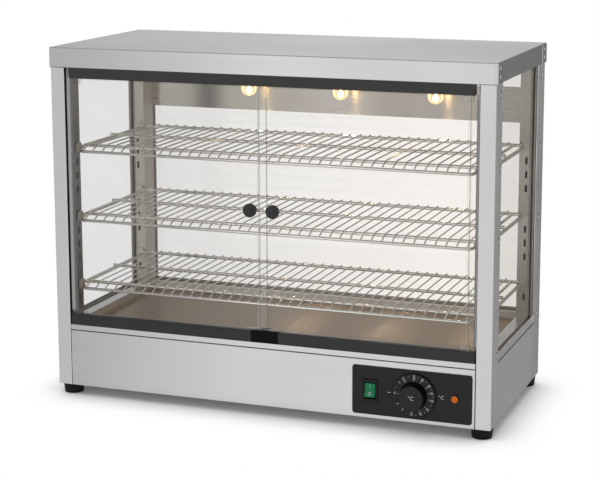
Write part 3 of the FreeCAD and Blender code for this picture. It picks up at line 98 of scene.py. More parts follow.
camera_data = bpy.data.cameras.new("camera")
camera_data.sensor_fit = "HORIZONTAL"
camera_data.sensor_width = 36.0
camera_data.lens = LENS
camera_data.shift_y = LENS_SHIFT
camera_data.clip_start = 0.05
camera_data.clip_end = 100.0
camera = bpy.data.objects.new("camera", camera_data)
scene.collection.objects.link(camera)
turn = Matrix.Rotation(CAMERA_YAW, 4, "Z")
tilt = Matrix.Rotation(math.pi / 2 - CAMERA_PITCH, 4, "X")
roll = Matrix.Rotation(CAMERA_ROLL, 4, "Z")
camera.matrix_world = Matrix.Translation(CAMERA_PLACE) @ turn @ tilt @ roll
scene.camera = camera
print("the camera is", round(CAMERA_PLACE.length, 2), "m away")

# %% [markdown]
# ## A helper for node trees
#
# Shaders and Geometry Nodes are both graphs of boxes with sockets. One short function adds a node
# and fills its sockets, with a plain value or with another node's output, so that each finish
# further down reads like a list.


# %% Node helpers
def put(tree, kind, inputs=None, **settings):
    """Adds a node. An input is a value, or the output socket that feeds it."""
    made = tree.nodes.new(kind)
    for key, value in settings.items():
        setattr(made, key, value)
    for key, value in (inputs or {}).items():
        socket = made.inputs[key]
        if isinstance(value, bpy.types.NodeSocket):
            tree.links.new(value, socket)
        else:
            socket.default_value = value
    return made


def maths(tree, operation, first, second=0.0):
    return put(tree, "ShaderNodeMath", {0: first, 1: second}, operation=operation).outputs[0]


def ranged(tree, value, low, high, to_low, to_high):
    """Maps value from low..high to a new range, with soft ends."""
    inputs = {0: value, 1: low, 2: high, 3: to_low, 4: to_high}
    return put(tree, "ShaderNodeMapRange", inputs, interpolation_type="SMOOTHSTEP").outputs[0]


def mixed_vector(tree, share, first, second):
    inputs = {0: share, 4: first, 5: second}
    return put(tree, "ShaderNodeMix", inputs, data_type="VECTOR").outputs[1]


def mixed_colour(tree, share, first, second):
    inputs = {0: share, 6: first, 7: second}
    return put(tree, "ShaderNodeMix", inputs, data_type="RGBA").outputs[2]


def grey(level, warmth=0.0):
    """A neutral colour, a little warmer when warmth is above 0."""
    return (level * (1 + warmth), level, level * (1 - warmth), 1.0)


print("node helpers are ready")

# %% [markdown]
# ## The studio
#
# Steel has hardly any colour of its own: it shows the room. The room here is a bright studio whose
# walls change in tone, so each side of the case gets its own. A ramp holds the walls' brightness all
# the way round: brightest in a band behind the camera, dim in a narrow strip past the right side,
# paler at the back left. The ceiling is dimmer, so that every upper fold draws a fine dark line. A
# camera ray that misses everything sees plain white.

# %% World
world = bpy.data.worlds.new("studio")
scene.world = world
world.use_nodes = True
room = world.node_tree
room.nodes.clear()
WALLS = (
    # degrees from straight ahead of the case, towards its right, and the brightness there
    (-180, 0.66), (-168, 0.72), (-161, 0.88), (-155, 0.74), (-148, 0.62), (-110, 0.70), (-60, 0.90), (-38, 0.50),
    (-29, 0.32), (-21, 1.54), (-14, 0.91), (-4, 0.84), (30, 0.95), (70, 0.95), (120, 0.75), (150, 0.70),
    (160, 0.13), (172, 0.13), (180, 0.66),
)
CEILING_LEVEL = 0.42
GROUND_LEVEL = 0.80
direction = put(room, "ShaderNodeTexCoord").outputs["Generated"]
parts = put(room, "ShaderNodeSeparateXYZ", {0: direction}).outputs
azimuth = maths(room, "ARCTAN2", parts["X"], maths(room, "MULTIPLY", parts["Y"], -1.0))
share = maths(room, "ADD", maths(room, "DIVIDE", azimuth, 2 * math.pi), 0.5)
ramp = put(room, "ShaderNodeValToRGB", {"Fac": share})
ramp.color_ramp.interpolation = "EASE"
stops = ramp.color_ramp.elements
while len(stops) < len(WALLS):
    stops.new(0.5)
for stop, (degrees, tone) in zip(stops, WALLS):
    stop.position = (degrees + 180) / 360
    stop.color = grey(tone)
walls_to_ceiling = ranged(room, parts["Z"], 0.35, 0.75, 0.0, 1.0)
walls_to_ground = ranged(room, parts["Z"], -0.9, -0.45, 1.0, 0.0)
tone = mixed_colour(room, walls_to_ceiling, ramp.outputs["Color"], grey(CEILING_LEVEL))
tone = mixed_colour(room, walls_to_ground, tone, grey(GROUND_LEVEL))
walls = put(room, "ShaderNodeBackground", {"Color": tone, "Strength": 1.0})
plain = put(room, "ShaderNodeBackground", {"Color": (1.0, 1.0, 1.0, 1.0), "Strength": 1.0})
seen = put(room, "ShaderNodeLightPath").outputs["Is Camera Ray"]
choice = put(room, "ShaderNodeMixShader", {0: seen, 1: walls.outputs[0], 2: plain.outputs[0]})
put(room, "ShaderNodeOutputWorld", {"Surface": choice.outputs[0]})
print("the ramp has", len(WALLS), "stops")

# %% [markdown]
# ## The floor
#
# The case stands on a white sweep. The floor has to stay white in the picture and still take the
# soft shadow under the case. For a camera ray, ambient occlusion tells how closely the case stands
# over a spot: hidden spots show the real paper in its shadow, open ones glow plain white. A glossy
# ray passes through it and sees the room, because a steel side mirrors the room and not the
# table. Rays shorter than a few centimetres stay, or the case's underside would light its own shadow.

# %% Floor
FLOOR_HALF = 9.0
PAPER = 0.92
SHADOW_REACH = 0.07


def stage_material():
    material = bpy.data.materials.new("white_floor")
    material.use_nodes = True
    tree = material.node_tree
    tree.nodes.clear()
    paths = put(tree, "ShaderNodeLightPath")
    grain = put(tree, "ShaderNodeTexNoise", {"Scale": 3.0, "Detail": 2.0}).outputs["Fac"]
    tone = mixed_colour(tree, grain, grey(PAPER - 0.02), grey(PAPER + 0.02))
    far = maths(tree, "GREATER_THAN", paths.outputs["Ray Length"], 0.04)
    room_wards = maths(tree, "MULTIPLY", paths.outputs["Is Glossy Ray"], far)
    paper = put(tree, "ShaderNodeBsdfDiffuse", {"Color": tone})
    open_sky = put(tree, "ShaderNodeAmbientOcclusion", {"Distance": SHADOW_REACH}, samples=12).outputs["AO"]
    white = put(tree, "ShaderNodeEmission", {"Color": grey(1.0), "Strength": 1.0})
    open_floor = maths(tree, "MULTIPLY", ranged(tree, open_sky, 0.33, 0.99, 0.04, 1.0), paths.outputs["Is Camera Ray"])
    seen = put(tree, "ShaderNodeMixShader", {0: open_floor, 1: paper.outputs[0], 2: white.outputs[0]})
    clear = put(tree, "ShaderNodeBsdfTransparent")
    last = put(tree, "ShaderNodeMixShader", {0: room_wards, 1: seen.outputs[0], 2: clear.outputs[0]})
    put(tree, "ShaderNodeOutputMaterial", {"Surface": last.outputs[0]})
    return material


floor_mesh = bpy.data.meshes.new("floor")
corners = [(-FLOOR_HALF, -FLOOR_HALF, 0), (FLOOR_HALF, -FLOOR_HALF, 0), (FLOOR_HALF, FLOOR_HALF, 0), (-FLOOR_HALF, FLOOR_HALF, 0)]
floor_mesh.from_pydata([Vector(c) - Vector((0, 0, 0.0001)) for c in corners], [], [(0, 1, 2, 3)])
floor = bpy.data.objects.new("floor", floor_mesh)
floor.data.materials.append(stage_material())
scene.collection.objects.link(floor)
print("the floor is", 2 * FLOOR_HALF, "m wide")

# %% [markdown]
# ## Lamps
#
# One broad soft lamp above and in front gives the case a top side and a shadow. Three small warm
# spots sit at the tips of the case's own bulbs, under its roof, and shine down on the shelves and the
# tray.


# %% Studio lamp and the case's own lamps
def lamp(name, kind, place, energy, colour, **settings):
    data = bpy.data.lights.new(name, kind)
    data.energy = energy
    data.color = colour
    for key, value in settings.items():
        setattr(data, key, value)
    made = bpy.data.objects.new(name, data)
    made.location = Vector(place) * MM
    scene.collection.objects.link(made)
    return made


softbox = lamp("softbox", "AREA", (-200, -1500, 2400), 9.0, (1.0, 0.99, 0.97), shape="RECTANGLE", size=1.6, size_y=1.2)
aim = Vector((0, 0, 200)) * MM - softbox.location
softbox.rotation_euler = aim.to_track_quat("-Z", "Y").to_euler()
softbox.visible_glossy = False

WARM = (1.0, 0.78, 0.52)
BULB_X = (-117.0, 27.0, 171.0)
bulb_low, bulb_high = box_mm("lamp_bulbs")
BULB_Y = (bulb_low.y + bulb_high.y) / 2
for number, x in enumerate(BULB_X, 1):
    glow = lamp(f"case_lamp_{number}", "SPOT", (x, BULB_Y, bulb_low.z - 6), 0.26, WARM, shadow_soft_size=9 * MM,
                spot_size=math.radians(125), spot_blend=0.7)
    glow.visible_camera = False
print("bulbs hang down to z", round(bulb_low.z, 1))

# %% [markdown]
# ## Brushed stainless steel
#
# Sheets like these are ground with a belt, which leaves fine parallel scratches. They do two things:
# they draw faint streaks along the grain, and they spread a highlight across the grain. The streaks
# are a noise texture that is stretched along the grain, and the spread is the shader's anisotropy,
# whose tangent lies across the grain. The grain runs level on the cover, the front and the tray, and
# upright on the posts. Where a face looks along the grain, as on the cover's ends, it takes the
# other direction. The warm tone of the sheets inside the case and the paler rear sill are painted
# lamplight from the case's own lamps.

# %% Steel finish
AXES = {"x": (1.0, 0.0, 0.0), "y": (0.0, 1.0, 0.0), "z": (0.0, 0.0, 1.0)}


def stretched(grain, along, across):
    """Noise scales in 1/m: long features along the grain and narrow ones across it."""
    return tuple(along if axis == grain else across for axis in "xyz")


def metal_finish(name, colour, roughness, grain="x", other="y", streaks=0.012, spread=0.55, ripple=0.02,
                 metallic=1.0):
    material = bpy.data.materials.new(name)
    material.use_nodes = True
    tree = material.node_tree
    tree.nodes.clear()
    where = put(tree, "ShaderNodeTexCoord")
    facing = put(tree, "ShaderNodeSeparateXYZ", {0: where.outputs["Normal"]}).outputs[grain.upper()]
    end_on = maths(tree, "GREATER_THAN", maths(tree, "ABSOLUTE", facing), 0.7)

    def along_grain(along, across, detail):
        scale = mixed_vector(tree, end_on, stretched(grain, along, across), stretched(other, along, across))
        spot = put(tree, "ShaderNodeVectorMath", {0: where.outputs["Object"], 1: scale}, operation="MULTIPLY").outputs[0]
        return put(tree, "ShaderNodeTexNoise", {"Vector": spot, "Scale": 1.0, "Detail": detail}).outputs["Fac"]

    fine = along_grain(8.0, 2200.0, 1.0)
    broad = along_grain(3.0, 300.0, 1.0)
    cloud = put(tree, "ShaderNodeTexNoise", {"Vector": where.outputs["Object"], "Scale": 5.0, "Detail": 1.0}).outputs["Fac"]
    both = maths(tree, "ADD", maths(tree, "MULTIPLY", fine, 0.5), maths(tree, "MULTIPLY", broad, 0.5))
    dark = tuple(c * (1 - streaks) for c in colour[:3]) + (1.0,)
    pale = tuple(min(1.0, c * (1 + streaks)) for c in colour[:3]) + (1.0,)
    tone = mixed_colour(tree, ranged(tree, both, 0.3, 0.7, 0.0, 1.0), dark, pale)
    polish = maths(tree, "ADD", ranged(tree, both, 0.3, 0.7, roughness - 0.02, roughness + 0.02),
                   ranged(tree, cloud, 0.3, 0.7, -0.02, 0.03))
    lines = put(tree, "ShaderNodeBump", {"Strength": ripple, "Distance": 0.00003, "Height": fine}).outputs[0]
    run = mixed_vector(tree, end_on, AXES[grain], AXES[other])
    face = put(tree, "ShaderNodeNewGeometry").outputs["Normal"]
    across = put(tree, "ShaderNodeVectorMath", {0: face, 1: run}, operation="CROSS_PRODUCT").outputs[0]
    shader = put(tree, "ShaderNodeBsdfPrincipled", {
        "Base Color": tone, "Metallic": metallic, "Roughness": polish, "Normal": lines,
        "Anisotropic": spread, "Tangent": across,
    })
    put(tree, "ShaderNodeOutputMaterial", {"Surface": shader.outputs[0]})
    return material


STEEL = grey(0.64, 0.004)
level_steel = metal_finish("brushed_steel_level", STEEL, 0.30, "x", "y")
upright_steel = metal_finish("brushed_steel_upright", grey(0.67, 0.004), 0.30, "z", "x")
# Painted shade: a darker copy of the upright steel, for the left front upright and the upright flanges, stands in for
# the shade inside the case.
upright_steel_painted_shade = metal_finish("upright_steel_with_painted_shade", grey(0.27, 0.01), 0.34, "z", "x")
# Painted lamplight: the warm tone of the next four steels and the rear sill's paler tone stand in for the case's lamps
# lighting plain stainless steel.
tray_steel_painted_lamplight = metal_finish("tray_steel_painted_warm_light", (0.50, 0.405, 0.315, 1.0), 0.42, "x", "y", 0.005, 0.98, 0.0)
band_steel_painted_lamplight = metal_finish("band_steel_painted_warm_light", (0.56, 0.515, 0.465, 1.0), 0.30, "x", "y", 0.006, 0.95, 0.0)
inner_steel_painted_lamplight = metal_finish("inner_steel_painted_warm_light", (0.60, 0.555, 0.495, 1.0), 0.34, "z", "x", metallic=0.55)
sill_steel_painted_lamplight = metal_finish("sill_steel_painted_light", (0.84, 0.79, 0.72, 1.0), 0.36, "x", "y", metallic=0.15)
plate_steel = metal_finish("plain_sheet_steel", grey(0.52, 0.01), 0.38, "x", "y", spread=0.3)
print("eight steel finishes")

# %% [markdown]
# ## Wire, screws and turned metal
#
# The shelves are bright drawn wire, and the screws are polished stainless. Neither has a straight
# grain worth showing at this size, so a softer noise varies their gloss, the way handling and
# cleaning do.


# %% Bright metal
def bright_metal(name, colour, roughness, marks=0.04, scale=260.0):
    material = bpy.data.materials.new(name)
    material.use_nodes = True
    tree = material.node_tree
    tree.nodes.clear()
    place = put(tree, "ShaderNodeTexCoord").outputs["Object"]
    spots = put(tree, "ShaderNodeTexNoise", {"Vector": place, "Scale": scale, "Detail": 3.0}).outputs["Fac"]
    dull = tuple(c * 0.9 for c in colour[:3]) + (1.0,)
    tone = mixed_colour(tree, ranged(tree, spots, 0.35, 0.7, 0.0, 1.0), colour, dull)
    polish = ranged(tree, spots, 0.3, 0.7, roughness - marks, roughness + marks)
    dents = put(tree, "ShaderNodeBump", {"Strength": 0.06, "Distance": 0.00003, "Height": spots}).outputs[0]
    shader = put(tree, "ShaderNodeBsdfPrincipled", {
        "Base Color": tone, "Metallic": 1.0, "Roughness": polish, "Normal": dents})
    put(tree, "ShaderNodeOutputMaterial", {"Surface": shader.outputs[0]})
    return material


shelf_wire = bright_metal("bright_shelf_wire", (0.80, 0.765, 0.71, 1.0), 0.15)
screw_steel = bright_metal("screw_steel", grey(0.60), 0.24)
painted_shadow_steel = bright_metal("dark_painted_shadow_steel", grey(0.10), 0.35)
brass = bright_metal("lamp_cap_brass", (0.72, 0.55, 0.30, 1.0), 0.3)
copper = bright_metal("sensor_copper", (0.70, 0.38, 0.24, 1.0), 0.3)
element_skin = bright_metal("heated_element_skin", (0.16, 0.14, 0.13, 1.0), 0.5, 0.08)
print("bright metals are ready")

# %% [markdown]
# ## Paint, plastic, rubber and ceramic
#
# These are all dielectrics: a coloured body under a thin clear reflection. What tells them apart is
# how fine and how deep their texture is. Satin paint has a faint orange peel, moulded plastic a fine
# spark-eroded grain, rubber a coarser one with a greyer bloom.


# %% Moulded and painted finishes
def coated(name, colour, roughness, grain=900.0, depth=0.10, variation=0.12, marks=0.05, sides=None, **fixed):
    """A dielectric with a fine grain. sides is a painted shade: a darker colour, with a weaker reflection,
    for faces that turn away from the front. fixed holds shader inputs that are the same all over."""
    material = bpy.data.materials.new(name)
    material.use_nodes = True
    tree = material.node_tree
    tree.nodes.clear()
    place = put(tree, "ShaderNodeTexCoord").outputs["Object"]
    fine = put(tree, "ShaderNodeTexNoise", {"Vector": place, "Scale": grain, "Detail": 2.0}).outputs["Fac"]
    soft = put(tree, "ShaderNodeTexNoise", {"Vector": place, "Scale": 14.0, "Detail": 2.0}).outputs["Fac"]
    dark = tuple(c * (1 - variation) for c in colour[:3]) + (1.0,)
    pale = tuple(min(1.0, c * (1 + variation)) for c in colour[:3]) + (1.0,)
    share = maths(tree, "ADD", maths(tree, "MULTIPLY", fine, 0.4), maths(tree, "MULTIPLY", soft, 0.6))
    tone = mixed_colour(tree, ranged(tree, share, 0.3, 0.7, 0.0, 1.0), dark, pale)
    polish = ranged(tree, soft, 0.3, 0.7, roughness - marks, roughness + marks)
    skin = put(tree, "ShaderNodeBump", {"Strength": depth, "Distance": 0.00008, "Height": fine}).outputs[0]
    shader = put(tree, "ShaderNodeBsdfPrincipled", {"Roughness": polish, "Normal": skin})
    # Painted shade: faces that turn away from the front get the darker sides colour and a weaker reflection.
    if sides:
        facing = put(tree, "ShaderNodeSeparateXYZ", {0: put(tree, "ShaderNodeTexCoord").outputs["Normal"]}).outputs["Y"]
        level = ranged(tree, maths(tree, "ABSOLUTE", facing), 0.6, 0.9, 0.0, 1.0)
        tone = mixed_colour(tree, level, sides, tone)
        tree.links.new(ranged(tree, level, 0.0, 1.0, 0.06, 0.34), shader.inputs["Specular IOR Level"])
    tree.links.new(tone, shader.inputs["Base Color"])
    for key, value in fixed.items():
        shader.inputs[key.replace("_", " ")].default_value = value
    put(tree, "ShaderNodeOutputMaterial", {"Surface": shader.outputs[0]})
    return material


rail_paint = coated("satin_black_rail", grey(0.022, 0.01), 0.42, 700.0, 0.08)
plate_paint = coated("satin_black_plate", grey(0.010, 0.01), 0.50, 1200.0, 0.08, Specular_IOR_Level=0.32)
# Painted shade: the dial's sides are darker than its face.
dial_plastic_painted_side_shade = coated("matt_black_dial", grey(0.010), 0.5, 1500.0, 0.10, sides=grey(0.003))
low_rail_paint = coated("satin_black_low_rail", grey(0.018, 0.01), 0.42, 700.0, 0.08, Specular_IOR_Level=0.43)
bezel_plastic = coated("black_switch_plastic", grey(0.006), 0.38, 1500.0, 0.08, Specular_IOR_Level=0.25)
# The same black plastic also paints the shade strips in the joints and in the post returns.
catch_plastic_and_painted_shade = coated("black_catch_plastic_and_painted_shade", grey(0.002), 0.55, 900.0, 0.12, Specular_IOR_Level=0.12)
knob_plastic = coated("black_knob_plastic", grey(0.010), 0.30, 900.0, 0.05)
foot_rubber = coated("black_foot_rubber", grey(0.005), 0.62, 500.0, 0.25, Specular_IOR_Level=0.25)
seal_rubber = coated("grey_glass_seal", (0.40, 0.35, 0.30, 1.0), 0.65, 500.0, 0.20)
white_ink = coated("white_ink", grey(0.62), 0.5, 900.0, 0.05, 0.05)
ceramic = coated("glazed_ceramic", (0.80, 0.77, 0.70, 1.0), 0.2, 120.0, 0.05, 0.04, Coat_Weight=0.4)
block_plastic = coated("terminal_plastic", (0.75, 0.73, 0.66, 1.0), 0.4, 600.0, 0.08, 0.05)
lead_skin = coated("lead_insulation", grey(0.05), 0.45, 500.0, 0.10)
zinc_case = coated("thermostat_case", grey(0.40, 0.02), 0.35, 400.0, 0.10, 0.10, Metallic=0.9)
rocker_plastic = coated("green_rocker", (0.003, 0.15, 0.062, 1.0), 0.25, 300.0, 0.03, 0.10,
                        Specular_IOR_Level=0.22, Emission_Color=(0.0, 0.30, 0.12, 1.0), Emission_Strength=0.12)
lens_plastic = coated("orange_lens", (0.60, 0.125, 0.003, 1.0), 0.14, 200.0, 0.03, 0.15,
                      Specular_IOR_Level=0.3, Emission_Color=(1.0, 0.24, 0.005, 1.0), Emission_Strength=0.12)
print("paints and plastics are ready")

# %% [markdown]
# ## Glass
#
# A window pane is almost invisible from the front and mirrors at a slant, while its cut edge is dark
# green. Real refraction through two parallel faces only moves the view by a hair, and it would keep
# the lamps' light out. So the faces mix a clear shader with a sharp mirror by Fresnel. Only the side
# that a ray enters mirrors, slightly more than one face would, because light that is already
# inside a real pane leaves it freely. The edges, found by their direction, get a body colour.


# %% Panes and clear strips
def pane_material(name, across, tint, edge, haze=0.0, mirror=1.15, rim_clear=0.5, painted_warm_light_tint=None):
    """across is the axis through the pane, edge the colour of its cut rim, of which a share stays
    clear. painted_warm_light_tint is a warmer tint towards the pane's right side, painted warm light."""
    material = bpy.data.materials.new(name)
    material.use_nodes = True
    tree = material.node_tree
    tree.nodes.clear()
    where = put(tree, "ShaderNodeTexCoord")
    facing = put(tree, "ShaderNodeSeparateXYZ", {0: where.outputs["Normal"]}).outputs[across.upper()]
    rim = maths(tree, "LESS_THAN", maths(tree, "ABSOLUTE", facing), 0.7)
    smear = put(tree, "ShaderNodeTexNoise", {"Vector": where.outputs["Object"], "Scale": 9.0, "Detail": 4.0}).outputs["Fac"]
    clear = put(tree, "ShaderNodeBsdfTransparent", {"Color": tint})
    # Painted light: the tint turns warmer towards the right, standing in for the warm light of the case's lamps.
    if painted_warm_light_tint:
        run = put(tree, "ShaderNodeSeparateXYZ", {0: where.outputs["Object"]}).outputs["X"]
        along = ranged(tree, run, -0.30, 0.20, 0.0, 1.0)
        tree.links.new(mixed_colour(tree, along, tint, painted_warm_light_tint), clear.inputs["Color"])
    gloss = put(tree, "ShaderNodeBsdfGlossy", {"Color": grey(0.95), "Roughness": ranged(tree, smear, 0.3, 0.7, 0.01, 0.05)})
    bend = put(tree, "ShaderNodeFresnel", {"IOR": 1.45}).outputs[0]
    film = ranged(tree, smear, 0.45, 0.8, haze, haze + 0.015)
    outer = maths(tree, "SUBTRACT", 1.0, put(tree, "ShaderNodeNewGeometry").outputs["Backfacing"])
    both = maths(tree, "MULTIPLY", maths(tree, "ADD", bend, film), outer)
    share = maths(tree, "MINIMUM", maths(tree, "MULTIPLY", both, mirror), 1.0)
    face = put(tree, "ShaderNodeMixShader", {0: share, 1: clear.outputs[0], 2: gloss.outputs[0]})
    solid_cut = put(tree, "ShaderNodeBsdfPrincipled", {"Base Color": edge, "Roughness": 0.15})
    cut = put(tree, "ShaderNodeMixShader", {0: rim_clear, 1: solid_cut.outputs[0], 2: clear.outputs[0]})
    last = put(tree, "ShaderNodeMixShader", {0: rim, 1: face.outputs[0], 2: cut.outputs[0]})
    put(tree, "ShaderNodeOutputMaterial", {"Surface": last.outputs[0]})
    return material


door_pane = pane_material("door_glass", "y", (0.968, 0.970, 0.968, 1.0), (0.22, 0.25, 0.24, 1.0), rim_clear=0.62)
side_pane = pane_material("side_glass", "x", (0.975, 0.978, 0.975, 1.0), (0.30, 0.33, 0.30, 1.0), mirror=0.85)
far_pane = pane_material("far_side_glass", "x", (0.925, 0.928, 0.926, 1.0), (0.30, 0.33, 0.30, 1.0), mirror=0.85)
back_pane = pane_material("back_glass", "y", (0.885, 0.880, 0.872, 1.0), (0.20, 0.24, 0.22, 1.0),
                          painted_warm_light_tint=(0.990, 0.968, 0.945, 1.0))
clear_strip = pane_material("clear_strip", "y", (0.95, 0.95, 0.94, 1.0), (0.34, 0.35, 0.34, 1.0), 0.03, rim_clear=0.7)
print("glass is ready")

# %% [markdown]
# ## Dress the CAD nodes
#
# Most sheets, panes and rails already have their true shape, with real folds, slots and gaps. Each
# keeps its mesh and only gets a finish.

# %% Finishes on the nodes that stay
FINISHES = {
    level_steel: ["top_cover", "front_panel", "front_sill", "rear_panel", "ceiling_plate"],
    upright_steel: ["side_panel_right", "side_panel_left", "upright_front_right", "side_sills"],
    upright_steel_painted_shade: ["upright_front_left"],
    band_steel_painted_lamplight: ["rear_band"],
    sill_steel_painted_lamplight: ["rear_sill"],
    inner_steel_painted_lamplight: ["upright_rear_right", "upright_rear_left", "shelf_supports_right",
                  "shelf_supports_left", "left_door_strike", "right_door_strike"],
    tray_steel_painted_lamplight: ["floor_tray"],
    plate_steel: ["bottom_plate", "element_straps"],
    screw_steel: ["panel_screws", "foot_screws", "left_door_knob_screw", "right_door_knob_screw",
                  "thermostat_spindle"],
    shelf_wire: ["wire_shelf_bottom", "wire_shelf_middle", "wire_shelf_top"],
    rail_paint: ["top_rail"],
    low_rail_paint: ["bottom_rail"],
    plate_paint: ["control_plate"],
    catch_plastic_and_painted_shade: ["door_catch", "pivot_bushes", "indicator_body"],
    knob_plastic: ["left_door_knob", "right_door_knob"],
    bezel_plastic: ["switch_housing", "cable_inlet"],
    dial_plastic_painted_side_shade: ["thermostat_dial"],
    rocker_plastic: ["switch_rocker"],
    lens_plastic: ["indicator_lens"],
    foot_rubber: ["feet"],
    seal_rubber: ["glass_seals"],
    ceramic: ["lamp_holders", "lamp_bulbs"],
    copper: ["thermostat_sensor"],
    element_skin: ["heating_element"],
    block_plastic: ["terminal_block"],
    lead_skin: ["wiring"],
    zinc_case: ["thermostat"],
    door_pane: ["left_door_glass", "right_door_glass"],
    side_pane: ["side_glass_right"],
    far_pane: ["side_glass_left"],
    back_pane: ["rear_glass"],
    clear_strip: ["left_door_edge_strip", "right_door_edge_strip", "left_door_pivots", "right_door_pivots"],
}
dressed = 0
for material, names in FINISHES.items():
    for name in names:
        slots = frame["nodes"][name].data.materials
        slots.clear()
        slots.append(material)
        dressed += 1
print(dressed, "of", len(frame["nodes"]), "nodes have a finish")

# %% [markdown]
# ## Turning a mesh into a piece
#
# Each finer piece ends the same way: it rides on the body that carries it, and it says which plain
# solid it stands for.


# %% Piece helpers
def add_piece(name, mesh, material, body, slot, *nodes, smooth=True):
    """Makes a piece from a mesh that is already in place, in metres."""
    mesh.materials.clear()
    mesh.materials.append(material)
    if smooth:
        mesh.polygons.foreach_set("use_smooth", [True] * len(mesh.polygons))
        mesh.set_sharp_from_angle(angle=math.radians(35))
    piece = bpy.data.objects.new(name, mesh)
    scene.collection.objects.link(piece)
    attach(piece, body)
    if nodes:
        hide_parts(*nodes)
    print(f"{name}: {len(mesh.polygons)} faces")
    return piece


def mesh_from(shape, name):
    """Ends a bmesh: merges doubles, points faces outwards and gives a mesh in metres."""
    bmesh.ops.remove_doubles(shape, verts=shape.verts, dist=0.001)
    bmesh.ops.recalc_face_normals(shape, faces=shape.faces)
    bmesh.ops.scale(shape, vec=(MM, MM, MM), verts=shape.verts)
    mesh = bpy.data.meshes.new(name)
    shape.to_mesh(mesh)
    shape.free()
    return mesh


def add_loops(shape, loops, close_start=True, close_end=True):
    """Skins closed loops of points. A loop may be a single point, which makes a pole."""
    rings = [[shape.verts.new(p) for p in loop] for loop in loops]
    for first, second in zip(rings, rings[1:]):
        count = max(len(first), len(second))
        for i in range(count):
            j = (i + 1) % count
            if len(first) == 1:
                shape.faces.new((first[0], second[i], second[j]))
            elif len(second) == 1:
                shape.faces.new((first[i], first[j], second[0]))
            else:
                shape.faces.new((first[i], first[j], second[j], second[i]))
    if close_start and len(rings[0]) > 2:
        shape.faces.new(rings[0])
    if close_end and len(rings[-1]) > 2:
        shape.faces.new(rings[-1])


print("piece helpers are ready")


# %% [markdown]
# ## Turned shapes
#
# Knobs, dials, feet and bulbs are turned or moulded round an axis. A profile of radius and height
# is carried round in steps, and a radius of 0 closes the shape in a pole.


# %% Lathe
def lathe(shape, profile, centre, axis="-y", steps=64):
    """Carries (radius, height) pairs round an axis through centre, height along the axis."""
    frames = {
        "-y": (Vector((1, 0, 0)), Vector((0, 0, 1)), Vector((0, -1, 0))),
        "y": (Vector((1, 0, 0)), Vector((0, 0, 1)), Vector((0, 1, 0))),
        "z": (Vector((1, 0, 0)), Vector((0, 1, 0)), Vector((0, 0, 1))),
    }
    u, v, w = frames[axis]
    centre = Vector(centre)
    loops = []
    for radius, height in profile:
        if radius == 0:
            loops.append([centre + w * height])
            continue
        loops.append([centre + w * height + (u * math.cos(a) + v * math.sin(a)) * radius
                      for a in (2 * math.pi * i / steps for i in range(steps))])
    add_loops(shape, loops)


def rounded(radius, height, corner, parts=5, outer=True):
    """The points of a quarter round at a profile's corner, from the side to the face."""
    points = []
    for i in range(parts + 1):
        angle = math.pi / 2 * i / parts
        points.append((radius - corner + corner * math.cos(angle), height - corner + corner * math.sin(angle)))
    return points if outer else points[::-1]


print("the lathe is ready")

# %% [markdown]
# ## Bent wire with Geometry Nodes
#
# A wire shelf is one bent frame, three stout rods and a row of cross wires, all alike. Typed in as
# meshes they would be thousands of numbers. Instead one node tree takes a line of corner points,
# rounds its bends, sweeps a circle along it and repeats the result in a row. Radius, bend, count and
# pitch are its inputs, so the same tree makes every wire of the shelf.


# %% Wire tree
def new_tree(name, sockets):
    """An empty Geometry Nodes tree with named inputs, and the way to their identifiers."""
    tree = bpy.data.node_groups.new(name, "GeometryNodeTree")
    tree.interface.new_socket("Geometry", in_out="INPUT", socket_type="NodeSocketGeometry")
    tree.interface.new_socket("Geometry", in_out="OUTPUT", socket_type="NodeSocketGeometry")
    ids = {}
    for label, kind in sockets.items():
        made = tree.interface.new_socket(label, in_out="INPUT", socket_type="NodeSocket" + kind)
        ids[label] = made.identifier
    return tree, ids


wire_tree, wire_ids = new_tree("bent_wire_row", {
    "Radius": "Float", "Bend": "Float", "Sides": "Int", "Count": "Int", "Pitch": "Float", "Finish": "Material"})
given = put(wire_tree, "NodeGroupInput").outputs
line = put(wire_tree, "GeometryNodeMeshToCurve", {"Mesh": given["Geometry"]}).outputs[0]
bent = put(wire_tree, "GeometryNodeFilletCurve", {
    "Curve": line, "Count": 6, "Radius": given["Bend"], "Limit Radius": True}, mode="POLY").outputs[0]
section = put(wire_tree, "GeometryNodeCurvePrimitiveCircle", {
    "Resolution": given["Sides"], "Radius": given["Radius"]}).outputs[0]
swept = put(wire_tree, "GeometryNodeCurveToMesh", {"Curve": bent, "Profile Curve": section, "Fill Caps": True}).outputs[0]
gaps = put(wire_tree, "ShaderNodeMath", {0: given["Count"], 1: 1.0}, operation="SUBTRACT").outputs[0]
half_row = put(wire_tree, "ShaderNodeMath", {0: gaps, 1: given["Pitch"]}, operation="MULTIPLY").outputs[0]
start_x = put(wire_tree, "ShaderNodeMath", {0: half_row, 1: -0.5}, operation="MULTIPLY").outputs[0]
start = put(wire_tree, "ShaderNodeCombineXYZ", {"X": start_x}).outputs[0]
step = put(wire_tree, "ShaderNodeCombineXYZ", {"X": given["Pitch"]}).outputs[0]
row = put(wire_tree, "GeometryNodeMeshLine", {"Count": given["Count"], "Start Location": start, "Offset": step}, mode="OFFSET").outputs[0]
copies = put(wire_tree, "GeometryNodeInstanceOnPoints", {"Points": row, "Instance": swept}).outputs[0]
solid = put(wire_tree, "GeometryNodeRealizeInstances", {"Geometry": copies}).outputs[0]
finished = put(wire_tree, "GeometryNodeSetMaterial", {"Geometry": solid, "Material": given["Finish"]}).outputs[0]
put(wire_tree, "NodeGroupOutput", {"Geometry": finished})


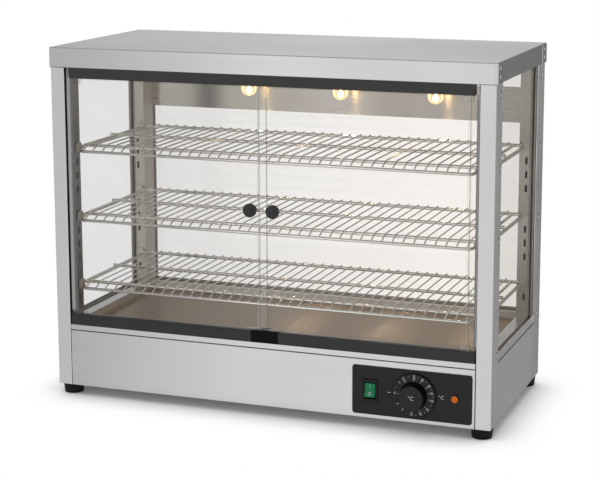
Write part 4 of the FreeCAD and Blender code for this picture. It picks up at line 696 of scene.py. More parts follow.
def grow(tree, ids, host_mesh, values):
    """Runs a tree on a mesh and gives back its result as a plain mesh."""
    host = bpy.data.objects.new("host", host_mesh)
    scene.collection.objects.link(host)
    modifier = host.modifiers.new("grow", "NODES")
    modifier.node_group = tree
    for label, value in values.items():
        modifier[ids[label]] = value
    bpy.context.view_layer.update()
    seen = host.evaluated_get(bpy.context.evaluated_depsgraph_get())
    mesh = bpy.data.meshes.new_from_object(seen)
    host.modifiers.remove(modifier)
    bpy.data.objects.remove(host)
    return mesh


def polyline(points):
    """A mesh of points joined in a line, from millimetres."""
    mesh = bpy.data.meshes.new("line")
    mesh.from_pydata([Vector(p) * MM for p in points], [(i, i + 1) for i in range(len(points) - 1)], [])
    return mesh


print("the wire tree has", len(wire_tree.nodes), "nodes")

# %% [markdown]
# ## Copies with Geometry Nodes
#
# Screws, feet and weld beads are one shape in many places. A second node tree takes a cloud of points
# and sets a copy of the shape on each. Two attributes of a point say which way its copy faces and how
# wide it is, and the tree may add a random spin from a fixed seed.


# %% Tree that sets copies on points
copy_tree, copy_ids = new_tree("copies_facing_out", {"Shape": "Object", "Spin": "Float", "Seed": "Int", "Finish": "Material"})
given = put(copy_tree, "NodeGroupInput").outputs
shape = put(copy_tree, "GeometryNodeObjectInfo", {"Object": given["Shape"]}).outputs["Geometry"]
outward = put(copy_tree, "GeometryNodeInputNamedAttribute", {"Name": "out"}, data_type="FLOAT_VECTOR").outputs[0]
aligned = put(copy_tree, "FunctionNodeAlignRotationToVector", {"Vector": outward}, axis="Z").outputs[0]
chance = put(copy_tree, "FunctionNodeRandomValue", {"Seed": given["Seed"]}, data_type="FLOAT")
chance.inputs[2].default_value = 0.0
copy_tree.links.new(given["Spin"], chance.inputs[3])
spin = put(copy_tree, "FunctionNodeAxisAngleToRotation", {"Axis": (0.0, 0.0, 1.0), "Angle": chance.outputs[1]}).outputs[0]
turned = put(copy_tree, "FunctionNodeRotateRotation", {"Rotation": aligned, "Rotate By": spin}, rotation_space="LOCAL").outputs[0]
width = put(copy_tree, "GeometryNodeInputNamedAttribute", {"Name": "width"}, data_type="FLOAT").outputs[0]
scale = put(copy_tree, "ShaderNodeCombineXYZ", {"X": width, "Y": width, "Z": 1.0}).outputs[0]
copies = put(copy_tree, "GeometryNodeInstanceOnPoints", {
    "Points": given["Geometry"], "Instance": shape, "Rotation": turned, "Scale": scale}).outputs[0]
solid = put(copy_tree, "GeometryNodeRealizeInstances", {"Geometry": copies}).outputs[0]
finished = put(copy_tree, "GeometryNodeSetMaterial", {"Geometry": solid, "Material": given["Finish"]}).outputs[0]
put(copy_tree, "NodeGroupOutput", {"Geometry": finished})


def set_copies(mesh, places, outs, finish, widths=None, spin=0.0, seed=1):
    """Copies of mesh on places in millimetres, with its Z axis along each of outs."""
    source = bpy.data.objects.new("source", mesh)
    scene.collection.objects.link(source)
    host = bpy.data.meshes.new("places")
    host.from_pydata([Vector(p) * MM for p in places], [], [])
    attribute = host.attributes.new("out", "FLOAT_VECTOR", "POINT")
    attribute.data.foreach_set("vector", [c for out in outs for c in out])
    attribute = host.attributes.new("width", "FLOAT", "POINT")
    attribute.data.foreach_set("value", widths or [1.0] * len(places))
    result = grow(copy_tree, copy_ids, host, {"Shape": source, "Spin": spin, "Seed": seed, "Finish": finish})
    bpy.data.objects.remove(source)
    return result


print("the copy tree has", len(copy_tree.nodes), "nodes")

# %% [markdown]
# ## The three wire shelves
#
# Every shelf has a frame wire that bends down at the front into a low nose, two rods that rest on the
# side supports, one more under the brow, and 39 cross wires welded on top. The cross wires follow the
# same slope down the nose. Small weld beads sit where wires cross.

# %% Shelves
FRAME_WIRE = 2.1
ROD_WIRE = 2.4
CROSS_WIRE = 1.05
CROSS_PITCH = 14.7
CROSS_COUNT = 39
WELD_BITE = 0.3
BEAD_RADIUS = 1.9
BEAD_HEIGHT = 1.5
NOSE_RUN = 16.0
NOSE_DROP = 6.3
SEAT_HEIGHT = 8.0
NOSE_AHEAD = 4.5


def joined(meshes, name):
    """Several meshes as one."""
    shape = bmesh.new()
    for mesh in meshes:
        shape.from_mesh(mesh)
    result = bpy.data.meshes.new(name)
    shape.to_mesh(result)
    shape.free()
    return result


def wire(points, radius, bend=0.5, count=1, pitch=0.0, sides=12):
    return grow(wire_tree, wire_ids, polyline(points), {
        "Radius": radius * MM, "Bend": bend * MM, "Sides": sides, "Count": count, "Pitch": pitch * MM,
        "Finish": shelf_wire})


def make_bead():
    """A low round blob of weld metal."""
    shape = bmesh.new()
    lathe(shape, [(0, -0.8), (BEAD_RADIUS, -0.3), (BEAD_RADIUS * 0.8, BEAD_HEIGHT * 0.6), (0, BEAD_HEIGHT)], (0, 0, 0), "z", 8)
    return mesh_from(shape, "bead")


def make_shelf(node):
    low, high = box_mm(node)
    seat = low.z + FRAME_WIRE + SEAT_HEIGHT
    nose_z = seat - NOSE_DROP
    nose_y = low.y + FRAME_WIRE + 0.5 - NOSE_AHEAD
    brow_y = nose_y + NOSE_RUN
    rear = high.y - ROD_WIRE
    rod_half = high.x
    half = rod_half - 11.0
    nose = [(half, rear + ROD_WIRE, seat), (half, brow_y, seat), (half, nose_y, nose_z)]
    frame_line = nose + [(-x, y, z) for x, y, z in nose[::-1]]
    meshes = [wire(frame_line, FRAME_WIRE, 7.0)]
    for y in (rear, middle_rod_y):
        meshes.append(wire([(-rod_half, y, seat), (rod_half, y, seat)], ROD_WIRE))
    meshes.append(wire([(-half, brow_y + FRAME_WIRE, seat), (half, brow_y + FRAME_WIRE, seat)], ROD_WIRE))
    top = seat + ROD_WIRE + CROSS_WIRE - WELD_BITE
    slope = Vector((0, nose_y - brow_y, nose_z - seat)).normalized()
    proud = Vector((0, slope.z, -slope.y)) * (FRAME_WIRE + CROSS_WIRE - WELD_BITE)
    end = Vector((0, nose_y, nose_z)) + proud
    brow = end - slope * ((end.z - top) / slope.z)
    line = [(0, rear + ROD_WIRE, top), tuple(brow), tuple(end)]
    meshes.append(wire(line, CROSS_WIRE, 3.0, CROSS_COUNT, CROSS_PITCH, 10))
    rod_lines = (rear, middle_rod_y, brow_y + FRAME_WIRE)
    cross_x = [(i - (CROSS_COUNT - 1) / 2) * CROSS_PITCH for i in range(CROSS_COUNT)]
    welds = [(x, y, top - CROSS_WIRE) for x in cross_x for y in rod_lines]
    meshes.append(set_copies(make_bead(), welds, [(0, 0, 1.0)] * len(welds), shelf_wire))
    return joined(meshes, node)


middle_rod_y = -1.0
for word in ("bottom", "middle", "top"):
    node = f"wire_shelf_{word}"
    add_piece(f"welded_shelf_{word}", make_shelf(node), shelf_wire, "cabinet", node, node)

# %% [markdown]
# ## Screws
#
# Twenty-six pan-head screws hold the cover and the side panels. One head is turned on the lathe with
# a cross recess cut in it, and the copy tree sets it on each place, turned to face out of the metal,
# widened where the solid's head is wider, and spun by a seeded random angle, as real screws end up.
# A thin dark ring under each head is painted shadow round it.

# %% Pan-head screws
HEAD_RADIUS = 3.2
HEAD_HEIGHT = 1.4


def pan_head():
    """A domed head, 1.4 mm high, with a cross recess."""
    shape = bmesh.new()
    dome = [(0, -0.6), (HEAD_RADIUS * 0.98, -0.6), (HEAD_RADIUS, 0.15), (HEAD_RADIUS * 0.97, 0.55),
            (HEAD_RADIUS * 0.86, 0.95), (HEAD_RADIUS * 0.66, 1.22), (HEAD_RADIUS * 0.40, 1.36), (0, HEAD_HEIGHT)]
    lathe(shape, dome, (0, 0, 0), "z", 24)
    head = mesh_from(shape, "head")
    cross = bmesh.new()
    for width, depth in ((2.9, 0.75), (0.75, 2.9)):
        bmesh.ops.create_cube(cross, size=1.0, matrix=Matrix.Diagonal((width, depth, 1.6, 1.0)) @ Matrix.Identity(4))
    bmesh.ops.translate(cross, verts=cross.verts, vec=(0, 0, 1.5))
    cutter = mesh_from(cross, "cross")
    head_object = bpy.data.objects.new("head", head)
    cutter_object = bpy.data.objects.new("cutter", cutter)
    for made in (head_object, cutter_object):
        scene.collection.objects.link(made)
    cut = head_object.modifiers.new("recess", "BOOLEAN")
    cut.operation = "DIFFERENCE"
    cut.object = cutter_object
    cut.use_self = True
    bpy.context.view_layer.update()
    result = bpy.data.meshes.new_from_object(head_object.evaluated_get(bpy.context.evaluated_depsgraph_get()))
    bpy.data.objects.remove(head_object)
    bpy.data.objects.remove(cutter_object)
    return result


def islands(node):
    """The middle of each separate solid of a node, in millimetres."""
    shape = bmesh.new()
    shape.from_mesh(frame["nodes"][node].data)
    bmesh.ops.remove_doubles(shape, verts=shape.verts, dist=1e-6)
    left = set(shape.verts)
    middles = []
    while left:
        group = {left.pop()}
        edge = list(group)
        while edge:
            vert = edge.pop()
            for link in vert.link_edges:
                other = link.other_vert(vert)
                if other in left:
                    left.discard(other)
                    group.add(other)
                    edge.append(other)
        low = Vector([min(v.co[i] for v in group) for i in range(3)])
        high = Vector([max(v.co[i] for v in group) for i in range(3)])
        middles.append(((low + high) / 2 / MM, low / MM, high / MM))
    shape.free()
    return middles


screw_places = []
screw_outs = []
screw_widths = []
for middle, low, high in sorted(islands("panel_screws"), key=lambda m: tuple(m[0])):
    side = 1.0 if middle.x > 0 else -1.0
    outer = max(abs(low.x), abs(high.x)) * side
    screw_places.append((outer - side * HEAD_HEIGHT, middle.y, middle.z))
    screw_outs.append((side, 0.0, 0.0))
    screw_widths.append((high.z - low.z) / 2 / HEAD_RADIUS)
screws = set_copies(pan_head(), screw_places, screw_outs, screw_steel, screw_widths, math.pi, 7)
add_piece("panel_screw_heads", screws, screw_steel, "cabinet", "panel_screws", "panel_screws")
# Painted shadow: a thin dark ring under each head stands in for the shade round it.
shadow_ring = bmesh.new()
lathe(shadow_ring, [(0, 0), (HEAD_RADIUS + 0.7, 0), (HEAD_RADIUS + 0.7, 0.25), (HEAD_RADIUS + 0.5, 0.4), (0, 0.4)], (0, 0, 0), "z", 24)
shadow_rings = set_copies(mesh_from(shadow_ring, "shadow_ring"), screw_places, screw_outs, painted_shadow_steel, screw_widths)
add_piece("panel_screw_washers", shadow_rings, painted_shadow_steel, "cabinet", "panel_screws", "panel_screws")
print(len(screw_places), "screws")

# %% [markdown]
# ## Rubber feet
#
# Each corner stands on a round rubber foot that narrows a little towards the table, with a moulded
# bead under its flange and a pocket below for the screw.


# %% Feet
def make_foot():
    shape = bmesh.new()
    low, high = box_mm("feet")
    height = high.z - low.z
    profile = [(2.1, height), (2.1, height / 2), (4.1, height / 2), (4.1, 0.6), (4.7, 0.0)]
    profile += [(12.3, 0.0), (13.2, 0.35), (13.6, 1.2), (14.1, 5.0), (14.5, 9.2), (14.35, 9.8), (14.6, 10.4), (15.0, 11.0)]
    profile += [(15.0, height - 0.6), (14.4, height), (2.1, height)]
    lathe(shape, profile, (0, 0, 0), "z", 48)
    return mesh_from(shape, "foot")


foot_middles = [m[0] for m in islands("feet")]
foot_places = sorted((m.x, m.y, 0.0) for m in foot_middles)
feet = set_copies(make_foot(), foot_places, [(0, 0, 1.0)] * 4, foot_rubber)
add_piece("rubber_feet", feet, foot_rubber, "cabinet", "feet", "feet")

# %% [markdown]
# ## Lettering
#
# The dial's numbers, the mark beside it and the switch's I and O are printed or hot-stamped, so they
# stand hardly proud of the surface. Blender's text object gives the outlines. It is made a mesh at
# full size first and only then scaled, laid flat on its face and turned.


# %% Text helper
def letters(shape, text, size, place, turn=0.0, lift=0.08, tilt=0.0):
    """Adds raised text that faces the front. turn is in radians, seen from the front, anticlockwise."""
    curve = bpy.data.curves.new("text", "FONT")
    curve.body = text
    curve.align_x = "CENTER"
    curve.align_y = "CENTER"
    curve.extrude = lift / size
    curve.resolution_u = 3
    maker = bpy.data.objects.new("text", curve)
    scene.collection.objects.link(maker)
    bpy.context.view_layer.update()
    mesh = bpy.data.meshes.new_from_object(maker.evaluated_get(bpy.context.evaluated_depsgraph_get()))
    bpy.data.objects.remove(maker)
    stand = Matrix.Rotation(math.pi / 2, 4, "X")
    lean = Matrix.Rotation(tilt, 4, "X")
    spin = Matrix.Rotation(-turn, 4, "Y")
    mesh.transform(Matrix.Translation(Vector(place)) @ spin @ lean @ stand @ Matrix.Scale(size, 4))
    shape.from_mesh(mesh)
    bpy.data.meshes.remove(mesh)


def bar(shape, place, width, height, lift=0.08, turn=0.0):
    """Adds a printed bar that faces the front."""
    spin = Matrix.Translation(Vector(place)) @ Matrix.Rotation(-turn, 4, "Y")
    bmesh.ops.create_cube(shape, size=1.0, matrix=spin @ Matrix.Diagonal((width, 2 * lift, height, 1.0)))


def ink_mesh(shape, name):
    """Printed shapes as a mesh, without merging letters that lie close together."""
    bmesh.ops.scale(shape, vec=(MM, MM, MM), verts=shape.verts)
    mesh = bpy.data.meshes.new(name)
    shape.to_mesh(mesh)
    shape.free()
    return mesh


print("lettering is ready")

# %% [markdown]
# ## The dial
#
# One black moulding: a thin skirt that carries the numbers and a grip in front of it. A real
# moulding has no sharp corners, so the profile rounds each edge and leaves a small fillet where the
# grip meets the skirt. The numbers run along the radius. Zero stands at the mark on the left, and
# because the dial turns clockwise, the numbers grow anticlockwise from it.

# %% Dial body
dial_low, dial_high = box_mm("thermostat_dial")
DIAL = middle_mm("thermostat_dial")
SKIRT_RADIUS = (dial_high.x - dial_low.x) / 2
SKIRT_HEIGHT = 3.0
GRIP_RADIUS = 19.0
GRIP_FACE_RADIUS = 16.8
dial_back = dial_high.y
dial_face = dial_low.y
dial_height = dial_back - dial_face


def make_dial():
    shape = bmesh.new()
    bore = 13.0
    profile = [(0, bore), (3.05, bore), (3.05, 0.0), (SKIRT_RADIUS - 0.5, 0.0), (SKIRT_RADIUS, 0.5)]
    profile += [(SKIRT_RADIUS, SKIRT_HEIGHT - 1.1), (SKIRT_RADIUS - 0.3, SKIRT_HEIGHT - 0.45)]
    profile += [(SKIRT_RADIUS - 0.9, SKIRT_HEIGHT - 0.08), (SKIRT_RADIUS - 1.6, SKIRT_HEIGHT)]
    profile += [(GRIP_RADIUS + 0.6, SKIRT_HEIGHT), (GRIP_RADIUS + 0.2, SKIRT_HEIGHT + 0.2), (GRIP_RADIUS, SKIRT_HEIGHT + 0.7)]
    profile += rounded(GRIP_FACE_RADIUS, dial_height, 0.9)
    profile += [(GRIP_FACE_RADIUS - 1.6, dial_height), (GRIP_FACE_RADIUS - 1.9, dial_height - 0.2), (0, dial_height - 0.2)]
    lathe(shape, profile, (DIAL.x, dial_back, DIAL.z), "-y", 96)
    return mesh_from(shape, "dial")


add_piece("numbered_dial", make_dial(), dial_plastic_painted_side_shade, "dial", "thermostat_dial", "thermostat_dial")

# %% Dial lettering
NUMBERS = {-3: "0", 85: "30", 113: "40", 139: "50", 170: "60", 194: "70", 216: "80", 243: "90", 269: "100", 303: "110"}
DOT_ANGLES = (98, 126, 156, 182, 205, 230, 257, 286, 339)
BAR_ANGLES = (31, 54, 320)


def dial_point(angle, radius, depth):
    """A point on the dial, at an angle counted anticlockwise from the mark on the left."""
    turn = math.pi + math.radians(angle)
    return (DIAL.x + radius * math.cos(turn), depth, DIAL.z + radius * math.sin(turn))


def make_dial_ink():
    shape = bmesh.new()
    skirt_face = dial_back - SKIRT_HEIGHT
    for angle, text in NUMBERS.items():
        letters(shape, text, 4.8, dial_point(angle, 25.9, skirt_face), math.radians(angle))
        bar(shape, dial_point(angle, 21.2, skirt_face), 1.8, 0.6, 0.08, math.radians(angle))
    for angle in DOT_ANGLES:
        bar(shape, dial_point(angle, 26.6, skirt_face), 0.9, 0.6, 0.08, math.radians(angle))
    for angle in BAR_ANGLES:
        bar(shape, dial_point(angle, 25.4, skirt_face), 3.0, 0.7, 0.08, math.radians(angle))
    letters(shape, "°C", 7.6, (DIAL.x, dial_face + 0.2, DIAL.z))
    return ink_mesh(shape, "dial_ink")


add_piece("dial_numbers", make_dial_ink(), white_ink, "dial", "thermostat_dial", smooth=False)

# %% Marks on the control plate
def make_plate_ink():
    shape = bmesh.new()
    bar(shape, (DIAL.x - SKIRT_RADIUS - 5.2, PLATE_FRONT, DIAL.z), 4.6, 0.7)
    letters(shape, "°C", 7.0, (DIAL.x + SKIRT_RADIUS + 7.2, PLATE_FRONT, DIAL.z))
    return ink_mesh(shape, "plate_ink")


add_piece("plate_marks", make_plate_ink(), white_ink, "cabinet", "control_plate", smooth=False)

# %% [markdown]
# ## Knobs and indicator
#
# The door knobs are small black discs with a dished face. The indicator is a moulded amber dome in a
# black ring. Its flat facets catch the light in turn, so its lathe has only a few steps.


# %% Door knobs
def make_knob(node):
    low, high = box_mm(node)
    radius = (high.x - low.x) / 2
    height = high.y - low.y
    middle = (low + high) / 2
    shape = bmesh.new()
    profile = [(0, 5.0), (2.02, 5.0), (2.02, 0.0), (radius - 1.2, 0.0), (radius - 0.8, 0.4)]
    profile += [(radius - 0.2, height * 0.35), (radius, height * 0.6)]
    profile += rounded(radius, height, 1.6)
    profile += [(radius - 2.6, height - 0.12), (radius * 0.45, height - 0.55), (0, height - 0.7)]
    lathe(shape, profile, (middle.x, high.y, middle.z), "-y", 48)
    return mesh_from(shape, node)


for side in ("left", "right"):
    node = f"{side}_door_knob"
    add_piece(f"{side}_turned_knob", make_knob(node), knob_plastic, f"{side}_door", node, node)


# %% Indicator lens
def make_lens():
    low, high = box_mm("indicator_lens")
    middle = (low + high) / 2
    radius = (high.x - low.x) / 2
    height = high.y - low.y
    centre = (middle.x, high.y, middle.z)
    shape = bmesh.new()
    inner = radius - 0.8
    lathe(shape, [(0, 0.2), (inner, 0.2), (inner, height * 0.5), (radius * 0.5, height), (0, height * 0.92)], centre, "-y", 10)
    ring = bmesh.new()
    lathe(ring, [(0, 0), (radius, 0), (radius, 0.9), (radius - 0.3, 1.3), (inner - 0.1, 1.3), (inner - 0.1, 0.4), (0, 0.4)],
          centre, "-y", 32)
    return mesh_from(shape, "lens"), mesh_from(ring, "ring")


lens, lens_ring = make_lens()
add_piece("faceted_lens", lens, lens_plastic, "cabinet", "indicator_lens", "indicator_lens", smooth=False)
add_piece("lens_ring", lens_ring, bezel_plastic, "cabinet", "indicator_lens", "indicator_lens")

# %% [markdown]
# ## The switch
#
# A snap-in rocker switch: a black bezel with softened edges and a rocker of translucent green. The
# rocker rests with its upper half pressed in, and it rides on a body of its own.


# %% Rounded frames
def rounded_loop(half_width, half_height, corner, y, centre, parts=4):
    """A rounded rectangle that faces the front, as a loop of points."""
    points = []
    for cx, cz, first in ((1, 1, 0.0), (-1, 1, 0.5), (-1, -1, 1.0), (1, -1, 1.5)):
        for i in range(parts + 1):
            angle = math.pi * (first + 0.5 * i / parts)
            points.append(Vector((
                centre.x + cx * (half_width - corner) + corner * math.cos(angle), y,
                centre.z + cz * (half_height - corner) + corner * math.sin(angle))))
    return points


def make_bezel():
    low, high = box_mm("switch_housing")
    centre = (low + high) / 2
    half_width = (high.x - low.x) / 2
    half_height = (high.z - low.z) / 2
    front = low.y
    shape = bmesh.new()
    steps = [
        # inset at the sides, inset above and below, depth, corner radius
        (0.0, 0.0, PLATE_FRONT, 1.2), (0.0, 0.0, front + 0.9, 1.2), (0.25, 0.3, front + 0.35, 1.1),
        (0.9, 1.0, front, 0.9), (2.9, 4.1, front, 0.7), (3.1, 4.3, front + 0.25, 0.6),
        (3.4, 4.6, PLATE_FRONT + 1.2, 0.5), (3.4, 4.6, PLATE_FRONT + 12.0, 0.5),
    ]
    loops = [rounded_loop(half_width - dx, half_height - dz, corner, y, centre) for dx, dz, y, corner in steps]
    add_loops(shape, loops, close_start=False)
    back = [rounded_loop(half_width - 1.6, half_height - 2.3, 0.5, y, centre) for y in (PLATE_FRONT, high.y)]
    add_loops(shape, back, close_start=False)
    rim = [rounded_loop(half_width - inset, half_height - inset * 1.4, 1.2 - inset * 0.4, PLATE_FRONT, centre)
           for inset in (0.0, 1.6)]
    add_loops(shape, rim, close_start=False, close_end=False)
    return mesh_from(shape, "bezel")


add_piece("switch_bezel", make_bezel(), bezel_plastic, "cabinet", "switch_housing", "switch_housing")

# %% Rocker
ROCKER_TILT = math.radians(-9)
rocker_joint = next(j for j in frame["joints"] if j["name"] == "rocker_tilt")
PIVOT = Vector(rocker_joint["pos_m"]) / MM


def make_rocker():
    half_width = 7.0
    half_height = 9.8
    tip = -6.4
    waist = tip + math.tan(math.radians(9)) * half_height
    outline = [(tip, half_height), (waist, 0), (tip, -half_height), (2.0, -half_height / 2), (2.0, half_height / 2)]
    shape = bmesh.new()
    loops = [[Vector((x, y, z)) for y, z in outline] for x in (-half_width, half_width)]
    add_loops(shape, loops)
    sharp = [e for e in shape.edges if min(v.co.y for v in e.verts) < -4]
    bmesh.ops.bevel(shape, geom=sharp, offset=0.55, segments=3, affect="EDGES")
    bmesh.ops.transform(shape, verts=shape.verts, matrix=Matrix.Translation(PIVOT) @ Matrix.Rotation(ROCKER_TILT, 4, "X"))
    return mesh_from(shape, "rocker")


def make_rocker_ink():
    shape = bmesh.new()
    for text, z, lean in (("I", 5.0, 9), ("O", -5.0, -9)):
        depth = -6.4 + math.tan(math.radians(9)) * (9.8 - abs(z))
        letters(shape, text, 6.4, (0, depth, z), tilt=math.radians(lean))
    bmesh.ops.transform(shape, verts=shape.verts, matrix=Matrix.Translation(PIVOT) @ Matrix.Rotation(ROCKER_TILT, 4, "X"))
    return ink_mesh(shape, "rocker_ink")


add_piece("green_rocker", make_rocker(), rocker_plastic, "rocker", "switch_rocker", "switch_rocker")
add_piece("rocker_marks", make_rocker_ink(), white_ink, "rocker", "switch_rocker", smooth=False)

# %% [markdown]
# ## Lamp bulbs
#
# Three small tubular bulbs hang from ceramic holders in the roof. Each is a clear envelope round a
# glowing filament, with a brass screw cap that the holder hides. The envelope lets light rays pass
# and adds a warm haze of its own, so the bulb reads as lit without blinding the picture.


# %% Bulb finishes
def envelope_material():
    material = bpy.data.materials.new("lit_bulb_glass")
    material.use_nodes = True
    tree = material.node_tree
    tree.nodes.clear()
    place = put(tree, "ShaderNodeTexCoord").outputs["Object"]
    height = put(tree, "ShaderNodeSeparateXYZ", {0: place}).outputs["Z"]
    smear = put(tree, "ShaderNodeTexNoise", {"Vector": place, "Scale": 160.0, "Detail": 2.0}).outputs["Fac"]
    clear = put(tree, "ShaderNodeBsdfTransparent", {"Color": (1.0, 0.93, 0.80, 1.0)})
    gloss = put(tree, "ShaderNodeBsdfGlossy", {"Color": grey(0.95), "Roughness": ranged(tree, smear, 0.3, 0.7, 0.03, 0.09)})
    bend = put(tree, "ShaderNodeFresnel", {"IOR": 1.5}).outputs[0]
    wall = put(tree, "ShaderNodeMixShader", {0: bend, 1: clear.outputs[0], 2: gloss.outputs[0]})
    near_filament = ranged(tree, height, (bulb_low.z + 2) * MM, (bulb_low.z + 42) * MM, 1.0, 0.15)
    haze = put(tree, "ShaderNodeEmission", {
        "Color": (1.0, 0.72, 0.40, 1.0), "Strength": maths(tree, "MULTIPLY", near_filament, 0.34)})
    lit = put(tree, "ShaderNodeAddShader", {0: wall.outputs[0], 1: haze.outputs[0]})
    put(tree, "ShaderNodeOutputMaterial", {"Surface": lit.outputs[0]})
    return material


bulb_glass = envelope_material()
filament_glow = coated("filament_glow", (1.0, 0.8, 0.5, 1.0), 0.5, 300.0, 0.02, 0.05,
                       Emission_Color=(1.0, 0.80, 0.50, 1.0), Emission_Strength=9.0)


# %% Bulbs
def make_envelopes():
    shape = bmesh.new()
    tip = -1.5
    radius = 11.5
    for x in BULB_X:
        profile = [(0, tip)]
        profile += [(radius * math.sin(math.radians(a)), tip + radius * (1 - math.cos(math.radians(a)))) for a in range(12, 91, 13)]
        profile += [(radius, 40.0), (radius, 47.5), (8.8, 53.0), (7.6, 57.5), (6.9, 60.0), (0, 60.0)]
        lathe(shape, profile, (x, BULB_Y, bulb_low.z), "z", 32)
    return mesh_from(shape, "envelopes")


def make_caps():
    shape = bmesh.new()
    for x in BULB_X:
        profile = [(0, 59.5)]
        for i in range(5):
            z = 60.2 + i * 2.6
            profile += [(6.4, z), (7.0, z + 0.65), (7.0, z + 1.3), (6.4, z + 1.95)]
        profile += [(5.0, 74.0), (2.0, 75.6), (0, 75.6)]
        lathe(shape, profile, (x, BULB_Y, bulb_low.z), "z", 24)
    return mesh_from(shape, "caps")


def make_filaments():
    shape = bmesh.new()
    for x in BULB_X:
        lathe(shape, [(0, 2.0), (3.2, 2.8), (4.6, 6.0), (3.6, 9.5), (1.8, 12.0), (0, 13.0)], (x, BULB_Y, bulb_low.z), "z", 16)
    return mesh_from(shape, "filaments")


add_piece("bulb_envelopes", make_envelopes(), bulb_glass, "cabinet", "lamp_bulbs", "lamp_bulbs")
add_piece("bulb_caps", make_caps(), brass, "cabinet", "lamp_bulbs", "lamp_bulbs")
add_piece("bulb_filaments", make_filaments(), filament_glow, "cabinet", "lamp_bulbs", "lamp_bulbs")

# %% [markdown]
# ## Corner tabs of the cover
#
# The cover's front is folded round each corner and lies on the side flange as a narrow tab, held by
# two screws. The tab is one more layer of sheet, and its edge draws the thin line beside the screws.
# A dark bar just below the cover's front edge is a painted shadow line over the posts. A few more
# thin strips are painted shade: dark lines in the joint between sill and front panel and under each
# side window, a dark strip in each post's inner return, and a darker finish on the narrow flange of
# each front upright.

# %% Tabs
cover_low, cover_high = box_mm("top_cover")
TAB_LENGTH = 27.0
TAB_SHEET = 0.6


def make_tabs():
    shape = bmesh.new()
    for side in (-1, 1):
        for edge, inward in ((cover_low.y, 1), (cover_high.y, -1)):
            start = edge + inward * 3.2
            end = edge + inward * TAB_LENGTH
            x0 = side * (cover_high.x - 0.2)
            x1 = side * (cover_high.x + TAB_SHEET)
            z0 = cover_low.z + 0.4
            z1 = cover_high.z - 1.6
            centre = Vector(((x0 + x1) / 2, (start + end) / 2, (z0 + z1) / 2))
            size = (abs(x1 - x0), abs(end - start), z1 - z0)
            made = bmesh.ops.create_cube(shape, size=1.0, matrix=Matrix.Translation(centre) @ Matrix.Diagonal((*size, 1.0)))
            edges = {e for v in made["verts"] for e in v.link_edges}
            bmesh.ops.bevel(shape, geom=list(edges), offset=0.18, segments=2, affect="EDGES")
    return mesh_from(shape, "tabs")


add_piece("cover_tabs", make_tabs(), level_steel, "cabinet", "top_cover")

# %% Painted shadow under the cover's front edge
SHADOW_LINE_SHOWS = 0.9


def bars(name, boxes, corner=0.1):
    """Thin bars from pairs of opposite corners, with broken edges."""
    shape = bmesh.new()
    for low, high in boxes:
        low, high = Vector(low), Vector(high)
        place = Matrix.Translation((low + high) / 2) @ Matrix.Diagonal((*(high - low), 1.0))
        made = bmesh.ops.create_cube(shape, size=1.0, matrix=place)
        edges = {e for v in made["verts"] for e in v.link_edges}
        bmesh.ops.bevel(shape, geom=list(edges), offset=corner, segments=2, affect="EDGES")
    return mesh_from(shape, name)


def both(low, high):
    """A bar on the right-hand side and its twin on the left."""
    return [(low, high), ((-high[0], low[1], low[2]), (-low[0], high[1], high[2]))]


# Painted shadow: a dark bar that peeks out below the cover's front edge stands in for the shade under it.
cover_shadow_line = [((cover_low.x + 1.2, FRONT - 0.75, cover_low.z - SHADOW_LINE_SHOWS), (cover_high.x - 1.2, FRONT - 0.08, cover_low.z + 1.0))]
add_piece("cover_inner_fold", bars("cover_shadow_line", cover_shadow_line), painted_shadow_steel, "cabinet", "top_cover")

# %% Painted shade lines and the upright flanges
panel_low, panel_high = box_mm("front_panel")
upright_low, upright_high = box_mm("upright_front_right")
side_low, side_high = box_mm("side_panel_right")
low_rail_top = box_mm("bottom_rail")[1].z
top_rail_bottom = box_mm("top_rail")[0].z
POST_EDGE = 297.5
WINDOW_LOW = 99.0
LINE = 0.9

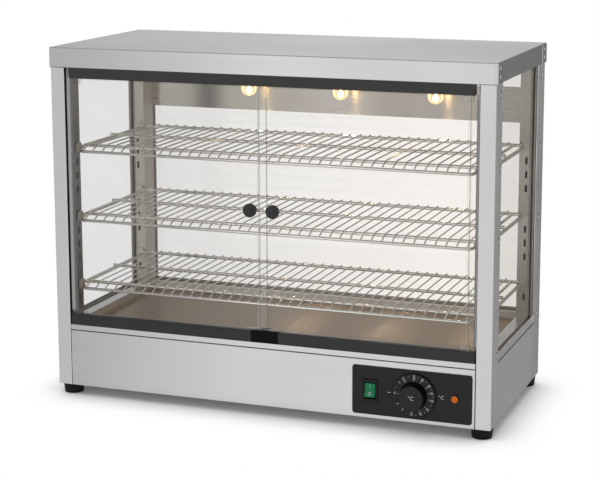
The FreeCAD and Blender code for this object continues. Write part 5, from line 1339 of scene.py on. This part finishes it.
# Painted shade: thin black bars in the joint between sill and front panel and under each side window stand in for the
# shade in these gaps.
joint_shade = [((panel_low.x + 0.3, FRONT - 0.08, panel_high.z - 0.1), (panel_high.x - 0.3, FRONT + 0.6, panel_high.z + LINE - 0.1))]
joint_shade += both((side_high.x - 0.5, -108.0, WINDOW_LOW - LINE), (side_high.x + 0.08, 116.0, WINDOW_LOW))
add_piece("dark_joint_lines", bars("joint_shade", joint_shade, 0.03), catch_plastic_and_painted_shade, "cabinet", "front_panel")
# Painted shade: a thin black strip in each post's inner return stands in for the shade there.
return_shade = both((POST_EDGE - 0.7, FRONT + 0.8, low_rail_top + 1), (POST_EDGE, FRONT + 6.0, top_rail_bottom + 14))
add_piece("post_edge_seals", bars("return_shade", return_shade), catch_plastic_and_painted_shade, "cabinet", "glass_seals")
# Painted shade: the flanges take the darker copy of the upright steel.
flange = both((upright_low.x - 2.7, upright_low.y, low_rail_top + 1), (upright_low.x + 0.2, upright_low.y + 0.9, top_rail_bottom))
add_piece("upright_flanges", bars("flange", flange), upright_steel_painted_shade, "cabinet", "upright_front_right")

# %% [markdown]
# ## Door catch
#
# A black magnetic catch fills a notch in the lower rail. A thin strike plate on each door's lower edge
# meets its low upstand, just above the rail.

# %% Catch and strikes
catch_low, catch_high = box_mm("door_catch")
catch = [
    ((catch_low.x, FRONT - 0.4, 104.4), (catch_high.x, catch_high.y, low_rail_top + 0.5)),
    ((-7.0, -134.1, low_rail_top), (7.0, catch_high.y, low_rail_top + 3.4)),
]
add_piece("black_catch", bars("catch", catch, 0.3), catch_plastic_and_painted_shade, "cabinet", "door_catch", "door_catch")
STRIKE_SHOWS = 1.8
for side in ("left", "right"):
    node = f"{side}_door_strike"
    low, high = box_mm(node)
    plate = [(tuple(low), (high.x, high.y, low.z + STRIKE_SHOWS))]
    add_piece(f"{side}_thin_strike", bars("strike", plate), inner_steel_painted_lamplight, f"{side}_door", node, node)

# %% [markdown]
#
# The dressed case has to keep the imported size.

# %% View transform
scene.view_settings.view_transform = "Standard"
